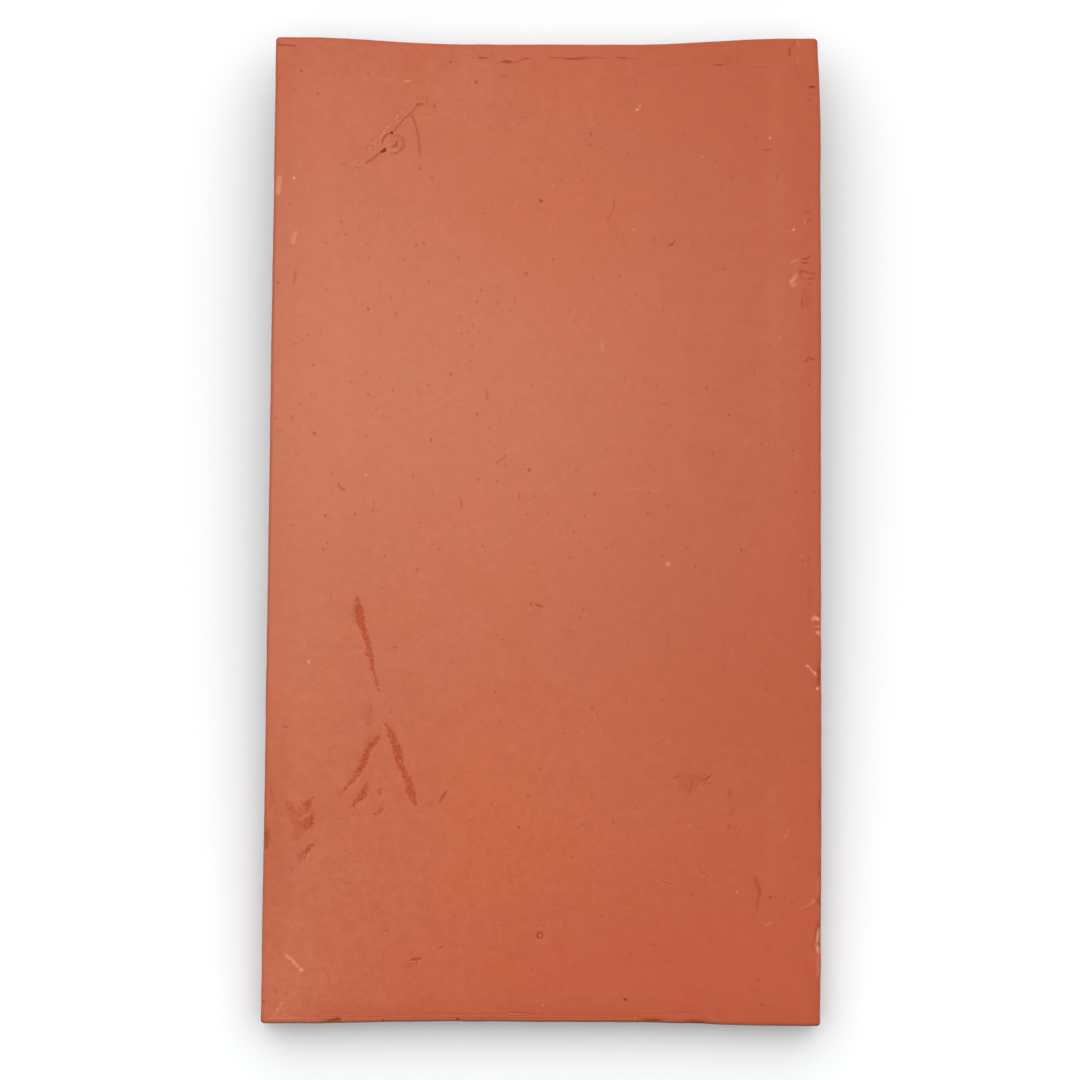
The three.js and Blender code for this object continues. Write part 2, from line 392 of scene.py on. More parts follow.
# %% The marks
# Each kind of mark is a list of strokes, and a stroke is a list of (x, y, half width).
MARKS = {
    "stroke": [
        [(356.8, 597, 0.7), (358.5, 605, 2.8), (359.5, 613, 4.4), (360.5, 621, 4.4), (363.5, 629, 2.7)],
        [(363.5, 629, 2.7), (367, 641, 2.8), (369.8, 652, 2.5), (373.3, 672, 1.7), (376, 683, 1.4),
         (379, 692, 1)],
        [(361.5, 652, 1.5), (367, 653.5, 2.4), (370, 656, 2.6)],
        [(383.8, 720.5, 0.6), (387, 727, 1.8), (391, 734, 3.6), (394, 742, 3.6), (398.2, 752, 4.6),
         (398.6, 760, 4)],
        [(398.6, 760, 4), (402, 769, 3), (406.5, 777, 3.6), (410.3, 788, 4.9), (412, 796, 4),
         (414.8, 803.5, 2), (417, 807.5, 0.6)],
        [(379, 736.5, 1.9), (373, 743, 2.6), (368, 748.5, 2.4), (365.6, 758, 3.4), (359.5, 770.5, 2.9),
         (354, 778, 2.6), (340.8, 794.5, 0.7)],
        [(367.5, 781.5, 1), (365, 788, 2.4), (363.5, 795, 3.6), (357, 800.5, 2.6), (348, 809, 0.8)],
        [(315.5, 795.5, 0.8), (312, 799, 1.7), (307, 803.5, 3.4), (304.3, 809, 2.5), (303.7, 812, 1.2)],
        [(288.5, 807, 0.9), (291, 810, 1.6)], [(311.5, 816, 2), (309.5, 822, 4.2), (305, 828.5, 3.2)],
        [(315.3, 843, 1.1), (311.5, 846.5, 2.4), (307.5, 849, 2.5)], [(305.3, 852, 2.4), (304.8, 857, 1.8)],
        [(380, 788.5, 1.8), (380, 794.5, 1.9)], [(382, 809, 1.7), (377, 814, 2.2)],
    ],
    "chip": [
        [(820.5, 930, 1.4), (820, 938, 3), (820.3, 950, 2)], [(820, 632.5, 2), (820, 634, 2)],
    ],
    # Notches in the arrises; their dark colour is painted shade.
    "notch": [
        [(335, 1022.4, 2.4), (338, 1022.4, 2.4)], [(327, 1023, 2), (329, 1023, 2)],
        [(645, 1022, 2), (660, 1022, 2)], [(690, 1023.5, 2), (705, 1024, 2)],
        [(820.5, 928, 3), (820.5, 950, 4)], [(820.6, 668, 2), (820.6, 684, 2)],
        [(264.5, 832, 1.6), (265, 848, 1.8)], [(820.5, 899, 2.4), (820.5, 904, 2.4)],
        [(821, 802, 1.7), (821, 806, 1.7)], [(821, 814, 1.5), (821, 815.5, 1.5)],
        [(821, 872.5, 1.5), (821, 875, 1.5)], [(816, 38, 1.6), (818.5, 41, 1.6)],
    ],
    "rub": [
        [(279, 178, 2.4), (278.5, 193, 2.6)], [(295.6, 232, 1.8), (293.2, 241, 2.7)],
    ],
    # Pale streaks along the face: painted sheen along the drag lines.
    "streak": [
        [(322, 112, 4), (334, 240, 7), (342, 330, 6), (345, 450, 3)],
        [(775, 72, 4), (776, 250, 6), (774, 415, 4)], [(773, 792, 5), (772, 885, 6)],
    ],
    "smudge": [
        [(675, 779, 3), (690, 778, 5), (706, 777, 3.6)], [(680, 787, 3), (692, 787, 5.4)],
        [(729.6, 792.5, 2.4), (729.8, 797.5, 2.6)], [(729.5, 826, 2.4), (730, 829, 2.4)],
        [(287, 805.5, 2.6), (291.5, 810, 3)], [(806, 292, 4.5), (806, 303, 5)],
        [(809.5, 592, 2.6), (810, 606, 2.4)], [(704, 606.5, 1.8), (709, 602.5, 2)],
        [(754.8, 880, 2.2), (760, 895.5, 2.4)], [(757.5, 902, 1.8), (757, 909, 1.8)],
        [(725, 56, 3.4), (727, 62, 3.4)], [(378, 738, 3.4), (372, 745, 3.6)],
        [(271, 779, 2.2), (271.6, 803, 2.6)], [(650.4, 73, 1.2), (650.6, 78, 1.4)],
        [(408, 964.5, 2.8), (414, 963.5, 2.6)], [(738, 49, 1.2), (738, 64, 1.2)],
        [(370, 706, 2.4), (368, 726, 2)], [(354, 603, 2.2), (355, 613, 4), (358, 623, 4)],
        [(290, 806, 4), (296, 818, 6), (300, 828, 7), (297, 836, 4)], [(307, 806, 5), (309, 824, 6.5)],
        [(302, 852, 4), (300, 858, 4)], [(371, 741, 3.4), (362, 767, 3.6)], [(366, 789, 3), (360, 797, 3)],
    ],
}
# Crumbs of clay that the scratch threw up, as (x, y, radius), and the shallow ring beside them.
CRUMBS = [
    (403, 111, 1.4), (397.5, 116.5, 2.4), (391, 123, 1.6), (388, 126.5, 2.6), (384.5, 131.5, 2.2),
    (381, 136, 2.4), (377, 138.5, 1.7), (375.5, 142.5, 1.9), (371, 143, 1.6), (370, 148, 2.3),
    (366.5, 149.5, 1.5), (427.5, 117, 1.5), (431, 118.5, 1.5), (356.5, 160.5, 2.2), (357.5, 170, 1.8),
    (371, 163.5, 1.6), (399.5, 148, 1.7), (401, 142, 1.4), (396, 138, 1.3), (388, 138.5, 1.8),
    (390.5, 142, 1.3),
]
RING_MIDDLE = (394.5, 144)
RING_RADIUS = 9.5
print("marks of each kind:", {name: len(strokes) for name, strokes in MARKS.items()}, "crumbs:", len(CRUMBS))

# %% [markdown]
# ## Hair lines and single spots
# For a line thinner than the distance between two points of the skin, the plain distance isn't
# enough: it never reaches zero on a point. The signed distance does, because it is negative on one
# side of the line and positive on the other, so it crosses zero between the points just where the
# line runs. In the same way a single spot is stored as the offset from its middle.
#
# Most of these marks are dark: cracks and pits hold shadow. Some are pale, where dry clay was rubbed
# off or a grain of lime sits. Both kinds share one list, and the sign of a number tells them apart.

# %% Lines
# A line is its points, half its width in mm, and its darkness, which is below 0 for a pale line.
SCRATCHES = [
    ([(418.2, 103.6), (412, 112), (404, 119), (398.5, 125.5), (392, 132.8)], 0.17, 0.5),
    ([(392, 133), (386.5, 134.6), (383, 139.5), (382.3, 142)], 0.18, 0.7),
    ([(412.2, 114), (416.8, 128), (418.5, 136), (419.3, 150), (420.2, 155)], 0.26, 0.45),
    ([(384, 150), (377, 155), (366.5, 163)], 0.18, 0.62), ([(418.2, 104), (424, 104.4)], 0.18, 0.55),
    ([(427, 103), (426.6, 96.5)], 0.22, 0.34), ([(426, 95), (419, 95.4), (416.6, 99)], 0.26, 0.15),
    ([(394.5, 134.6), (401, 136), (404, 140), (404.6, 146), (401, 151), (395, 153.6),
     (390, 153)], 0.24, 0.38),
    ([(392.4, 147), (395.4, 146), (397.4, 143.4), (396.6, 141.6)], 0.26, 0.75),
]
CREASES = [
    ([(480, 58), (488, 58)], 0.22, 0.75), ([(502, 61.6), (512, 62.2)], 0.35, 1.0),
    ([(512, 62.2), (519, 62)], 0.14, 0.4), ([(524, 58.5), (532, 58.5)], 0.2, 0.55),
    ([(504, 76.2), (508, 76)], 0.26, 0.43), ([(548.4, 57.8), (558, 57.8), (566, 58.6)], 0.15, 0.45),
    ([(566, 58.8), (576, 58.8), (586, 58.4)], 0.26, 0.8),
    ([(586, 57.7), (596, 57.8), (606, 57.8)], 0.18, 0.42),
    ([(615.8, 57), (620, 57.9), (628, 58)], 0.2, 0.7), ([(628, 58), (638, 58.3)], 0.18, 0.3),
    ([(656, 65.3), (664.7, 65.3)], 0.2, 0.3), ([(668.5, 65.3), (676, 65.4)], 0.22, 0.42),
    ([(693, 59), (694, 64)], 0.22, 0.35), ([(716, 65), (723.6, 65)], 0.24, 0.9),
    ([(724.6, 64.6), (730, 64.6)], 0.2, 0.15), ([(731, 68.5), (739, 68.6)], 0.2, 0.25),
    ([(754, 67), (771, 67.4)], 0.18, 0.25), ([(793, 68), (797, 68.2)], 0.26, 0.9),
    ([(277, 44.5), (286, 45.4), (295, 46)], 0.2, 0.7), ([(781, 39), (785, 39)], 0.3, -0.35),
    ([(797.8, 41.5), (797.8, 44)], 0.25, -0.3), ([(797.7, 61), (797.7, 63)], 0.25, -0.4),
    ([(558, 91), (558.5, 99)], 0.16, 0.16), ([(405, 81.3), (409.5, 81)], 0.34, -0.4),
    ([(763.5, 149.8), (771, 150.3)], 0.2, 0.45), ([(614.2, 200), (613.8, 211), (610, 216)], 0.15, 0.3),
    ([(668.6, 246.4), (670.8, 246.6), (674.5, 242)], 0.24, 0.65),
    ([(296, 270), (294.5, 278), (293.5, 285)], 0.28, 0.35), ([(602, 343), (603, 350)], 0.25, -0.3),
    ([(802.5, 300), (802.5, 306)], 0.26, 0.5), ([(806.5, 361), (809.6, 357.8), (814, 360.2)], 0.22, 0.6),
    ([(661, 404.6), (664, 403), (667, 404.6)], 0.2, 0.24), ([(515.5, 297), (515.6, 303)], 0.22, 0.3),
    ([(487, 392), (487.2, 398)], 0.22, 0.35), ([(338.5, 485.5), (338.6, 489), (344, 489.6)], 0.22, 0.45),
    ([(519.2, 493.5), (519.4, 499.5)], 0.24, 0.35), ([(461.2, 502), (461.4, 508)], 0.22, 0.45),
    ([(632, 489), (641, 488.6), (645, 485)], 0.2, -0.14), ([(650, 489.6), (660, 490.2)], 0.22, -0.2),
    ([(808.5, 557), (810, 565)], 0.24, 0.35), ([(537, 605.4), (542, 607.6)], 0.28, 0.7),
    ([(283, 727), (287.5, 728)], 0.22, 0.55), ([(674, 779.5), (678, 777.6)], 0.3, 0.4),
    ([(704.5, 781), (708.2, 779.4), (710.6, 776)], 0.22, 0.6), ([(689.6, 793.6), (692, 788)], 0.3, 0.47),
    ([(702, 786.5), (705.8, 790), (705.4, 796.5)], 0.2, 0.2), ([(729.4, 791.5), (729.5, 796.5)], 0.24, 0.3),
    ([(727, 815), (731, 815.4)], 0.26, 0.45), ([(445.6, 793.8), (440, 802.6)], 0.5, 0.85),
    ([(812, 792.8), (816.4, 792)], 0.22, -0.1), ([(675.6, 862.8), (679.8, 866.8)], 0.2, 0.32),
    ([(663.5, 882.6), (671.5, 884.5)], 0.2, 0.37), ([(650.5, 945.2), (656, 946.3)], 0.2, 0.36),
    ([(537, 928.6), (543, 928.8)], 0.3, -0.2), ([(796, 42), (791.5, 46.5)], 0.2, 0.4),
    ([(789.5, 49.5), (789.5, 55.5)], 0.28, 0.75), ([(796.8, 63.5), (797, 70)], 0.22, 0.4),
    ([(797.8, 72.3), (797.9, 79)], 0.2, 0.4), ([(799, 79.4), (810, 83.4)], 0.18, 0.25),
    ([(809.8, 87), (814.5, 87.2)], 0.24, 1.0), ([(808.3, 100.5), (812, 100.5)], 0.2, 0.4),
    ([(804, 211), (811.7, 211)], 0.2, 0.28), ([(805, 222), (805.6, 225.6), (807.5, 226)], 0.22, -0.35),
    ([(807.5, 223), (811.5, 219.8)], 0.26, 0.65), ([(789.5, 231.2), (791.5, 231)], 0.22, -0.25),
    ([(792.5, 262), (796, 260.3), (798.6, 259.6)], 0.4, -0.32),
    ([(803.4, 259.4), (808, 259), (809.6, 257)], 0.27, 0.7),
    ([(800, 271.2), (806, 271.6), (808.5, 273.8), (815, 274)], 0.24, 0.6),
    ([(796, 277), (792.8, 280), (791, 283.4), (794, 285)], 0.6, -0.6),
    ([(808, 284.5), (812, 284.5)], 0.22, 0.32), ([(813, 618.8), (815.2, 617.4), (818.6, 619.4)], 0.5, -1.0),
    ([(817, 632.5), (820.5, 633)], 0.5, -0.9), ([(807, 665.8), (809, 666.8), (810.8, 669)], 0.34, -0.8),
    ([(813, 671.8), (816, 674.5)], 0.34, -0.8), ([(755, 878.5), (757.5, 885), (760.8, 895.5)], 0.5, 0.5),
    ([(758.5, 902), (757.6, 910)], 0.5, 0.5), ([(817.5, 882), (817, 896)], 0.4, -0.14),
    ([(803, 908), (809, 905), (814.5, 902)], 0.16, -0.42), ([(766.2, 925.1), (768.4, 923.8)], 0.3, -0.55),
    ([(820, 930), (818.6, 937), (817.8, 945), (819, 953)], 0.6, -1.0),
    ([(817.9, 958), (817.9, 976)], 0.4, -0.25), ([(286.6, 955.4), (294, 962), (300.5, 969)], 0.5, -0.45),
    ([(280.4, 1003.5), (282.8, 1003.3)], 0.4, -0.4), ([(277.6, 1008), (278, 1011.4)], 0.42, -0.45),
    ([(268.5, 1019), (276, 1017.6), (284, 1018), (300, 1018.4)], 0.5, -0.13),
    ([(283.6, 1015.4), (286, 1015)], 0.34, -0.35), ([(342.5, 1019.6), (346, 1018.8)], 0.36, -0.2),
    ([(330, 1021.6), (335, 1020.8), (339, 1019.4)], 0.5, 0.7), ([(275.4, 988.5), (275.7, 992)], 0.3, 0.4),
    ([(317.5, 1013.2), (372, 1014), (420, 1013.8), (505, 1014.2)], 0.18, 0.12),
    ([(507, 1012.5), (518, 1013), (530, 1014.4)], 0.22, 0.35),
    ([(530, 1014.4), (652, 1014.6), (690, 1013)], 0.18, 0.16),
    ([(345, 1017.6), (430, 1018), (560, 1018.2), (640, 1018)], 0.18, 0.22),
    ([(411.5, 960.2), (419.8, 959.3)], 0.42, 0.7), ([(438.8, 950.4), (442.8, 947.4)], 0.3, 0.5),
    ([(265.6, 830), (267.6, 836), (271.4, 844.5)], 0.42, 0.35),
    ([(307.2, 814.8), (305, 816.2)], 0.32, -0.2), ([(303.2, 818.9), (300.6, 819.4)], 0.4, -0.2),
    ([(299, 797), (296.6, 799), (298.5, 802.5)], 0.3, -0.16), ([(307.7, 858.4), (307.4, 859.8)], 0.3, -0.4),
]

# %% Spots
# A spot is its place, its radius, and its tone: below 0 for a pit, above 0 for a pale grain.
SPOTS = [
    ((384.6, 150), 2.3, -0.85), ((381.8, 151.8), 1.5, -0.9), ((391.6, 132.9), 1.6, -1),
    ((418, 103.8), 1.2, -0.42), ((541, 201), 2.0, -0.52), ((625, 1000), 2.2, -0.62),
    ((793.5, 229.8), 1.8, 0.7), ((818.6, 616), 1.3, -0.5), ((817.6, 688.8), 2.1, 0.9),
    ((410.7, 952.7), 1.1, -0.28), ((416.5, 962.5), 1.2, -0.7), ((820, 945), 2.4, -1),
    ((770, 897.5), 1.2, -0.42), ((762.5, 1005), 1.5, -0.38), ((287.2, 956.2), 2.1, 0.7),
    ((293.8, 962.3), 2.6, 0.85), ((301.2, 969.7), 2.5, 0.85), ((317.7, 946.6), 1.1, -0.5),
    ((293.8, 986.2), 1.2, -0.22), ((286.4, 1016.8), 1.4, -0.3), ((317.7, 1016.2), 1.4, -0.4),
    ((383, 1021), 1.5, -0.65), ((457.7, 1019.6), 1.6, -0.75), ((263, 1002), 1.8, -0.5),
    ((668, 564), 3.4, 0.42), ((308.7, 661.8), 2.2, 0.6), ((637, 109), 2.0, 1), ((770, 138), 1.8, 0.46),
    ((703, 157), 1.8, 0.27), ((542.7, 1005.3), 1.8, 0.22), ((635, 1018), 1.8, 0.2), ((294, 178), 1.8, 0.9),
    ((309, 855.2), 1.3, 0.14), ((519, 828), 2.0, -0.42), ((495, 693), 1.6, -0.3), ((476, 82), 1.8, -0.42),
    ((450.5, 62), 1.5, -0.46), ((301.5, 71), 1.4, -0.34), ((279, 78), 1.4, -0.36),
    ((317.5, 93.4), 1.2, -0.36), ((510, 104), 1.2, -0.32), ((602, 147.7), 1.2, -0.17),
    ((626, 143.7), 1.2, -0.2), ((577, 162), 1.2, -0.15), ((590.6, 134), 1.5, -0.4),
    ((683, 135.2), 1.3, -0.34), ((501, 926.3), 1.2, -0.2),
]
RINGS = [((540, 936), 4.7, -0.6)]
# Smaller dots in groups: the radius and tone of each group, then the places.
DOTS = {
    (1.4, -0.21): [
        (293.7, 89.6), (334, 73.4), (415, 82.5), (405, 55.6), (525.5, 117), (489.5, 127.3), (342.7, 163.8),
        (278, 149), (492.9, 160), (737.1, 117.7), (745.8, 125.5), (753, 176), (777.7, 176), (602, 78),
        (289.8, 203.9), (326.6, 242.7), (359.7, 230), (391.4, 297.4), (461.6, 333.4), (484.3, 213.3),
        (512.6, 201), (295.4, 344), (365.4, 373.3), (351.2, 382.3), (378.7, 378), (429, 385.2),
        (383.8, 416.3), (470.1, 361.7), (608, 218.4), (636, 294.3), (755, 373.7), (742.6, 253),
        (291.7, 525.7), (296, 454), (372.5, 510.7), (373.9, 501.4), (432.8, 493.7), (439, 549.8),
        (497.1, 463.4), (516.4, 472.5), (527.7, 515), (481.6, 674.2), (395.1, 648), (394.6, 690.6),
        (308.7, 645.3), (534, 563.1), (569, 466.3), (577.8, 471.6), (694, 523.6), (667.9, 506.2),
        (649.9, 543.4), (698.4, 649.5), (598.1, 642.2), (760, 594.2), (731.3, 601), (547.3, 514.3),
        (338, 702), (347.8, 720.6), (450.4, 772), (463.7, 808.4), (471, 820.9), (457.5, 850),
        (508.5, 849.2), (337.9, 891.7), (391.7, 889.7), (402.8, 906.7), (517, 877), (345.6, 851.5),
        (338.5, 818.9), (647.2, 701.6), (713.9, 717.5), (731.3, 719), (785, 765.4), (802.3, 762.5),
        (740, 831), (652.5, 825.4), (677.7, 822.8), (698, 829), (798, 814.6), (714, 848.8), (705.2, 888),
        (785, 897), (586.4, 913), (613.9, 937.8), (593.6, 954.3),
    ],
    (1.6, -0.25): [
        (389.5, 76.3), (341.3, 221.5), (346, 234.2), (429, 281.8), (424, 242.7), (477.2, 301.6),
        (510.6, 310), (308.7, 335), (313.5, 365.4), (368.2, 395), (274.7, 419), (707, 388), (505, 456),
        (497.7, 481.6), (385.2, 556.9), (483, 546.7), (381.5, 589.2), (502.8, 640.5), (648.1, 513.7),
        (594.7, 494.5), (570.5, 558), (580.7, 618.4), (745, 635), (725.5, 665), (793.5, 451), (806.9, 446),
        (713, 453.8), (795.8, 492.5), (814.7, 492.5), (803, 561), (539.4, 769.6), (350.4, 884),
        (376.7, 908), (385.8, 931.4), (663.2, 701), (657.4, 744.2), (563.2, 734), (728.4, 826),
        (635, 808.8), (613, 823.3), (583.5, 824.8), (572.5, 857.5), (696.5, 864.5), (701.4, 872),
        (707.5, 876.4), (692.2, 894.3), (692.2, 913), (601.4, 916), (629.9, 953),
    ],
    (1.6, 0.16): [
        (338.8, 74), (512.7, 125), (689.3, 156.5), (436.2, 218), (337, 412), (286, 293), (549.6, 226.9),
        (553, 185.6), (649.6, 246.6), (396.5, 584.4), (281.8, 584.4), (286, 457.8), (651.9, 437.3),
        (745.8, 441), (791.5, 433), (695.5, 544.8), (609.8, 537.6), (599.6, 664), (637.4, 605.9),
        (582, 733), (600.9, 733.5), (669, 742), (447.5, 869), (689.3, 824.8), (787.8, 830.6), (785, 837.8),
        (598.8, 871), (553.9, 885.7),
    ],
    (1.7, 0.38): [
        (633.9, 229.2), (366, 474.5), (737.1, 892), (640, 106.3),
    ],
}
all_spots = [(*spot, 0) for spot in SPOTS] + [(*spot, 1) for spot in RINGS]
all_spots += [(place, radius, tone, 0) for (radius, tone), places in DOTS.items() for place in places]
print("lines:", len(SCRATCHES) + len(CREASES), "spots:", len(all_spots))

# %% [markdown]
# ## Wide tints
# A kiln doesn't heat a tile evenly, and hands and racks leave it drier in one place than in another, so the
# clay's colour differs over wide areas. Two tints are painted light instead: warm is painted shade that takes
# back some sheen at the top middle, and pale is painted sheen low on the left and at the lower left corner.
# Such areas have no edge, so each is an oval that fades out by a bell curve.

# %% Tints
# Each area is its middle, how far it reaches across and along, and its strength.
AREAS = {
    # Painted shade: darker and warmer at the top middle, taking back some of the sheen.
    "warm": [((540, 300), (120, 170), 0.35), ((500, 222), (130, 40), 0.45), ((600, 200), (60, 50), 0.25)],
    "gold": [((540, 800), (190, 120), 0.22)],
    "red": [((700, 950), (210, 90), 0.35), ((430, 975), (160, 60), 0.25), ((820, 560), (60, 420), 0.1)],
    # Painted sheen: paler low on the left side and at the lower left corner.
    "pale": [((300, 700), (45, 110), 0.3), ((270, 990), (50, 45), 0.5), ((280, 920), (40, 40), 0.2)],
    "dull": [((822, 430), (26, 260), 0.18), ((262, 360), (26, 140), 0.12), ((826, 990), (12, 28), 0.5)],
}


def soft_areas(points, areas):
    """How strongly any of the areas tints a point: 1 less the product of 1 less each one's bell curve."""
    left = np.ones(len(points))
    for centre, reach, strength in areas:
        offset = (points - on_tile(centre)) / (np.array(reach) * UNIT)
        left *= 1 - strength * np.exp(-(offset**2).sum(axis=1))
    return 1 - left


# %% What each point stores
NEAR = 2.0 * MM
TOUCHED_NEAR = 0.9 * MM
FADE_FROM = 0.7
END_FADE = 0.25


def keep_nearest(best, gap, stored, values):
    """Where a gap is below the best one so far, it and its values take over."""
    closer = gap < best
    for column, value in enumerate(values):
        stored[:, column] = np.where(closer, value, stored[:, column])
    return np.minimum(best, gap)


def nearest_hair(points):
    """Signed distance across the nearest line in mm, its faded darkness, and half its width in mm.

    The signed distance is the cross product of the line's direction with the offset from its start.
    """
    best = np.full(len(points), FAR)
    stored = np.zeros((len(points), 3))
    lines = [(*line, TOUCHED_NEAR) for line in SCRATCHES] + [(*line, NEAR) for line in CREASES]
    for path, half_width, darkness, near in lines:
        path = on_tile(path)
        for start, end in zip(path[:-1], path[1:]):
            line = (end - start) / np.linalg.norm(end - start)
            offset = points - start
            side = line[0] * offset[:, 1] - line[1] * offset[:, 0]
            gap = capsule_gap(points, start, end, 0, 0)
            overshoot = np.sqrt(np.maximum(gap**2 - side**2, 0))
            fade = darkness * (1 - smooth(FADE_FROM * near, near, gap))
            fade *= 1 - smooth(0, END_FADE * near, overshoot)
            best = keep_nearest(best, gap, stored, (side / MM, fade, half_width))
    return stored


def nearest_spot(points):
    """Offset from the nearest spot's middle in mm, its fade, radius in mm, tone and whether it is a ring."""
    best = np.full(len(points), FAR)
    stored = np.zeros((len(points), 6))
    for centre, radius, tone, ring in all_spots:
        offset = points - on_tile(centre)
        gap = np.linalg.norm(offset, axis=1)
        fade = 1 - smooth(FADE_FROM * NEAR, NEAR, gap)
        values = (offset[:, 0] / MM, offset[:, 1] / MM, fade, radius * UNIT / MM, tone, ring)
        best = keep_nearest(best, gap, stored, values)
    return stored


face_points = flat[:, :2]
hair = nearest_hair(face_points)
spot = nearest_spot(face_points)
tints = {name: soft_areas(face_points, areas) for name, areas in AREAS.items()}
print("strongest tints:", {name: float(strength.max().round(2)) for name, strength in tints.items()})
print("points near a line:", np.count_nonzero(hair[:, 1]), "near a spot:", np.count_nonzero(spot[:, 2]))

# %% [markdown]
# ## Relief of the face
# The face isn't a clean cylinder. It rolls off a little towards its edges, where the mould's rim held
# the clay down, it has slow hollows that only show in glancing light, and each stroke is a shallow
# furrow. Broken arrises come last: points near a chip move in along the diagonal between the face
# and the edge. All of it takes clay away and adds none.

# %% Relief and chips
HOLLOWS = 0.22 * MM
HOLLOW_SIZE = 70 * MM
ROLL_OFF = 0.14 * MM
ROLL_WIDTH = 6 * MM
STROKE_DEPTH = 0.14 * MM
RUB_DEPTH = 0.10 * MM
SOFT_EDGE = 0.8 * MM
CHIP_DEPTH = 0.35 * MM
CHIP_SOFT = 0.5 * MM
NOTCH_DEPTH = 0.8 * MM
NOTCH_SOFT = 0.9 * MM
BROKEN_WIDTH = 2.6 * MM
BROKEN_GRAIN = 2.2 * MM
BROKEN_MEAN, BROKEN_SWING = 0.7, 0.5
CRUMB_HEIGHT = 0.16 * MM
CRUMB_SOFT = 0.4 * MM
RING_HEIGHT = 0.12 * MM

row = np.column_stack((np.sign(place[:, 0]), place[:, 1:]))
column = np.column_stack((place[:, 0], np.sign(place[:, 1]), place[:, 2]))
side_gap = np.abs(outline_core(row)[:, 0] - flat[:, 0])
end_gap = np.abs(outline_core(column)[:, 1] - flat[:, 1])
edge_gap = np.minimum(side_gap, end_gap)

gaps = {name: strokes_gap(face_points, strokes) for name, strokes in MARKS.items()}
gaps["crumb"] = spots_gap(face_points, CRUMBS)
ring_share = np.linalg.norm(face_points - on_tile(RING_MIDDLE), axis=1) / (RING_RADIUS * UNIT)


def within(name, soft=SOFT_EDGE):
    """1 well inside the marks of a kind, 0 well outside, and a smooth step over their edges."""
    return 1 - smooth(-soft, soft, gaps[name])


slow = rough_noise(np.column_stack((face_points, np.zeros(len(flat)))), HOLLOW_SIZE, SEEDS["hollows"])
relief = HOLLOWS * (0.5 + 0.5 * slow)
relief += ROLL_OFF * (1 - smooth(0, ROLL_WIDTH, edge_gap))
relief += STROKE_DEPTH * within("stroke") + RUB_DEPTH * within("rub")
relief -= CRUMB_HEIGHT * within("crumb", CRUMB_SOFT) + RING_HEIGHT * (1 - smooth(0.5, 1, ring_share))
relief *= on_face
flat[:, 2] -= relief

broken = CHIP_DEPTH * within("chip", CHIP_SOFT) + NOTCH_DEPTH * within("notch", NOTCH_SOFT)
broken *= BROKEN_MEAN + BROKEN_SWING * rough_noise(flat, BROKEN_GRAIN, SEEDS["broken"])
broken *= (1 - smooth(0, BROKEN_WIDTH, edge_gap)) * smooth(-0.2, 0.5, outwards[:, 2])
inwards = broken * np.sqrt(0.5)
at_side = side_gap < end_gap
flat[:, 0] -= inwards * np.where(at_side, np.sign(flat[:, 0]), 0)
flat[:, 1] -= inwards * np.where(at_side, 0, np.sign(flat[:, 1]))
flat[:, 2] -= inwards
print("deepest relief and deepest chip, mm:", (relief.max() / MM).round(2), (broken.max() / MM).round(2))

# %% Bend the slab and put it where the solid lies
slab = tip(bend(flat), REST_TILT)
plain = tip(bend(np.array([[0, HALF_LENGTH, HALF_THICKNESS - ARRIS]])), REST_TILT)
shift = np.array([0, cad_high[1] - plain[0, 1], LIFT])
slab += shift
print("head end of the skin and of the solid:", slab[:, 1].max().round(5), round(cad_high[1], 5))

# %% [markdown]
# ## The nib
# The rings are rectangles with round corners. Each is the rim of the window pulled to that shape, so
# all rings have as many points as the rim, and quads join each ring to the next. The side towards the
# tail stays flat and upright, because it bears on the batten.

# %% Nib rings
STRAIGHT_SHARE = 0.72
FILLET_RINGS = 4
SIDE_RINGS = 7
batten_face = tip(touching, REST_TILT)[1, 1] + shift[1]
bend_centre = tip(np.array([[0, 0, -BEND_RADIUS]]), REST_TILT)[0] + shift


def underside_height(y):
    """Height of the underside over the floor: the bend's centre plus the height of the circle above it."""
    radius = BEND_RADIUS - HALF_THICKNESS
    return bend_centre[2] + np.sqrt(radius**2 - (y - bend_centre[1]) ** 2)


def along_side(share, half, corner):
    """A straight stretch, then a turn of up to 45 degrees round the corner; gives place and fall-back."""
    turn = np.clip((np.abs(share) - STRAIGHT_SHARE) / (1 - STRAIGHT_SHARE), 0, 1) * np.pi / 4
    straight = np.clip(share / STRAIGHT_SHARE, -1, 1) * (half - corner)
    return straight + np.sign(share) * corner * np.sin(turn), corner * (1 - np.cos(turn))


def nib_ring(a, b, height, spread):
    """Pulls the rim (a, b from -1 to 1) to the nib's outline at a height, pushed outwards by the spread."""
    fall = np.clip(1 - height / NIB_HEIGHT, 0, 1)
    corner = NIB_CORNER + spread
    front = batten_face - spread
    back = batten_face + NIB_DEPTH - NIB_BACK_DRAFT * fall + spread
    half_x = NIB_WIDTH / 2 - NIB_SIDE_DRAFT * fall + spread
    half_y = (back - front) / 2
    across, back_off_y = along_side(a, half_x, corner)
    along, back_off_x = along_side(b, half_y, corner)
    on_end = np.abs(b) == 1
    x = np.where(on_end, across, np.sign(a) * (half_x - back_off_x))
    y = np.where(on_end, np.sign(b) * (half_y - back_off_y), along) + (front + back) / 2
    z = height + (underside_height(y) - NIB_HEIGHT) * (height / NIB_HEIGHT) ** 3
    return np.column_stack((x, y, z))


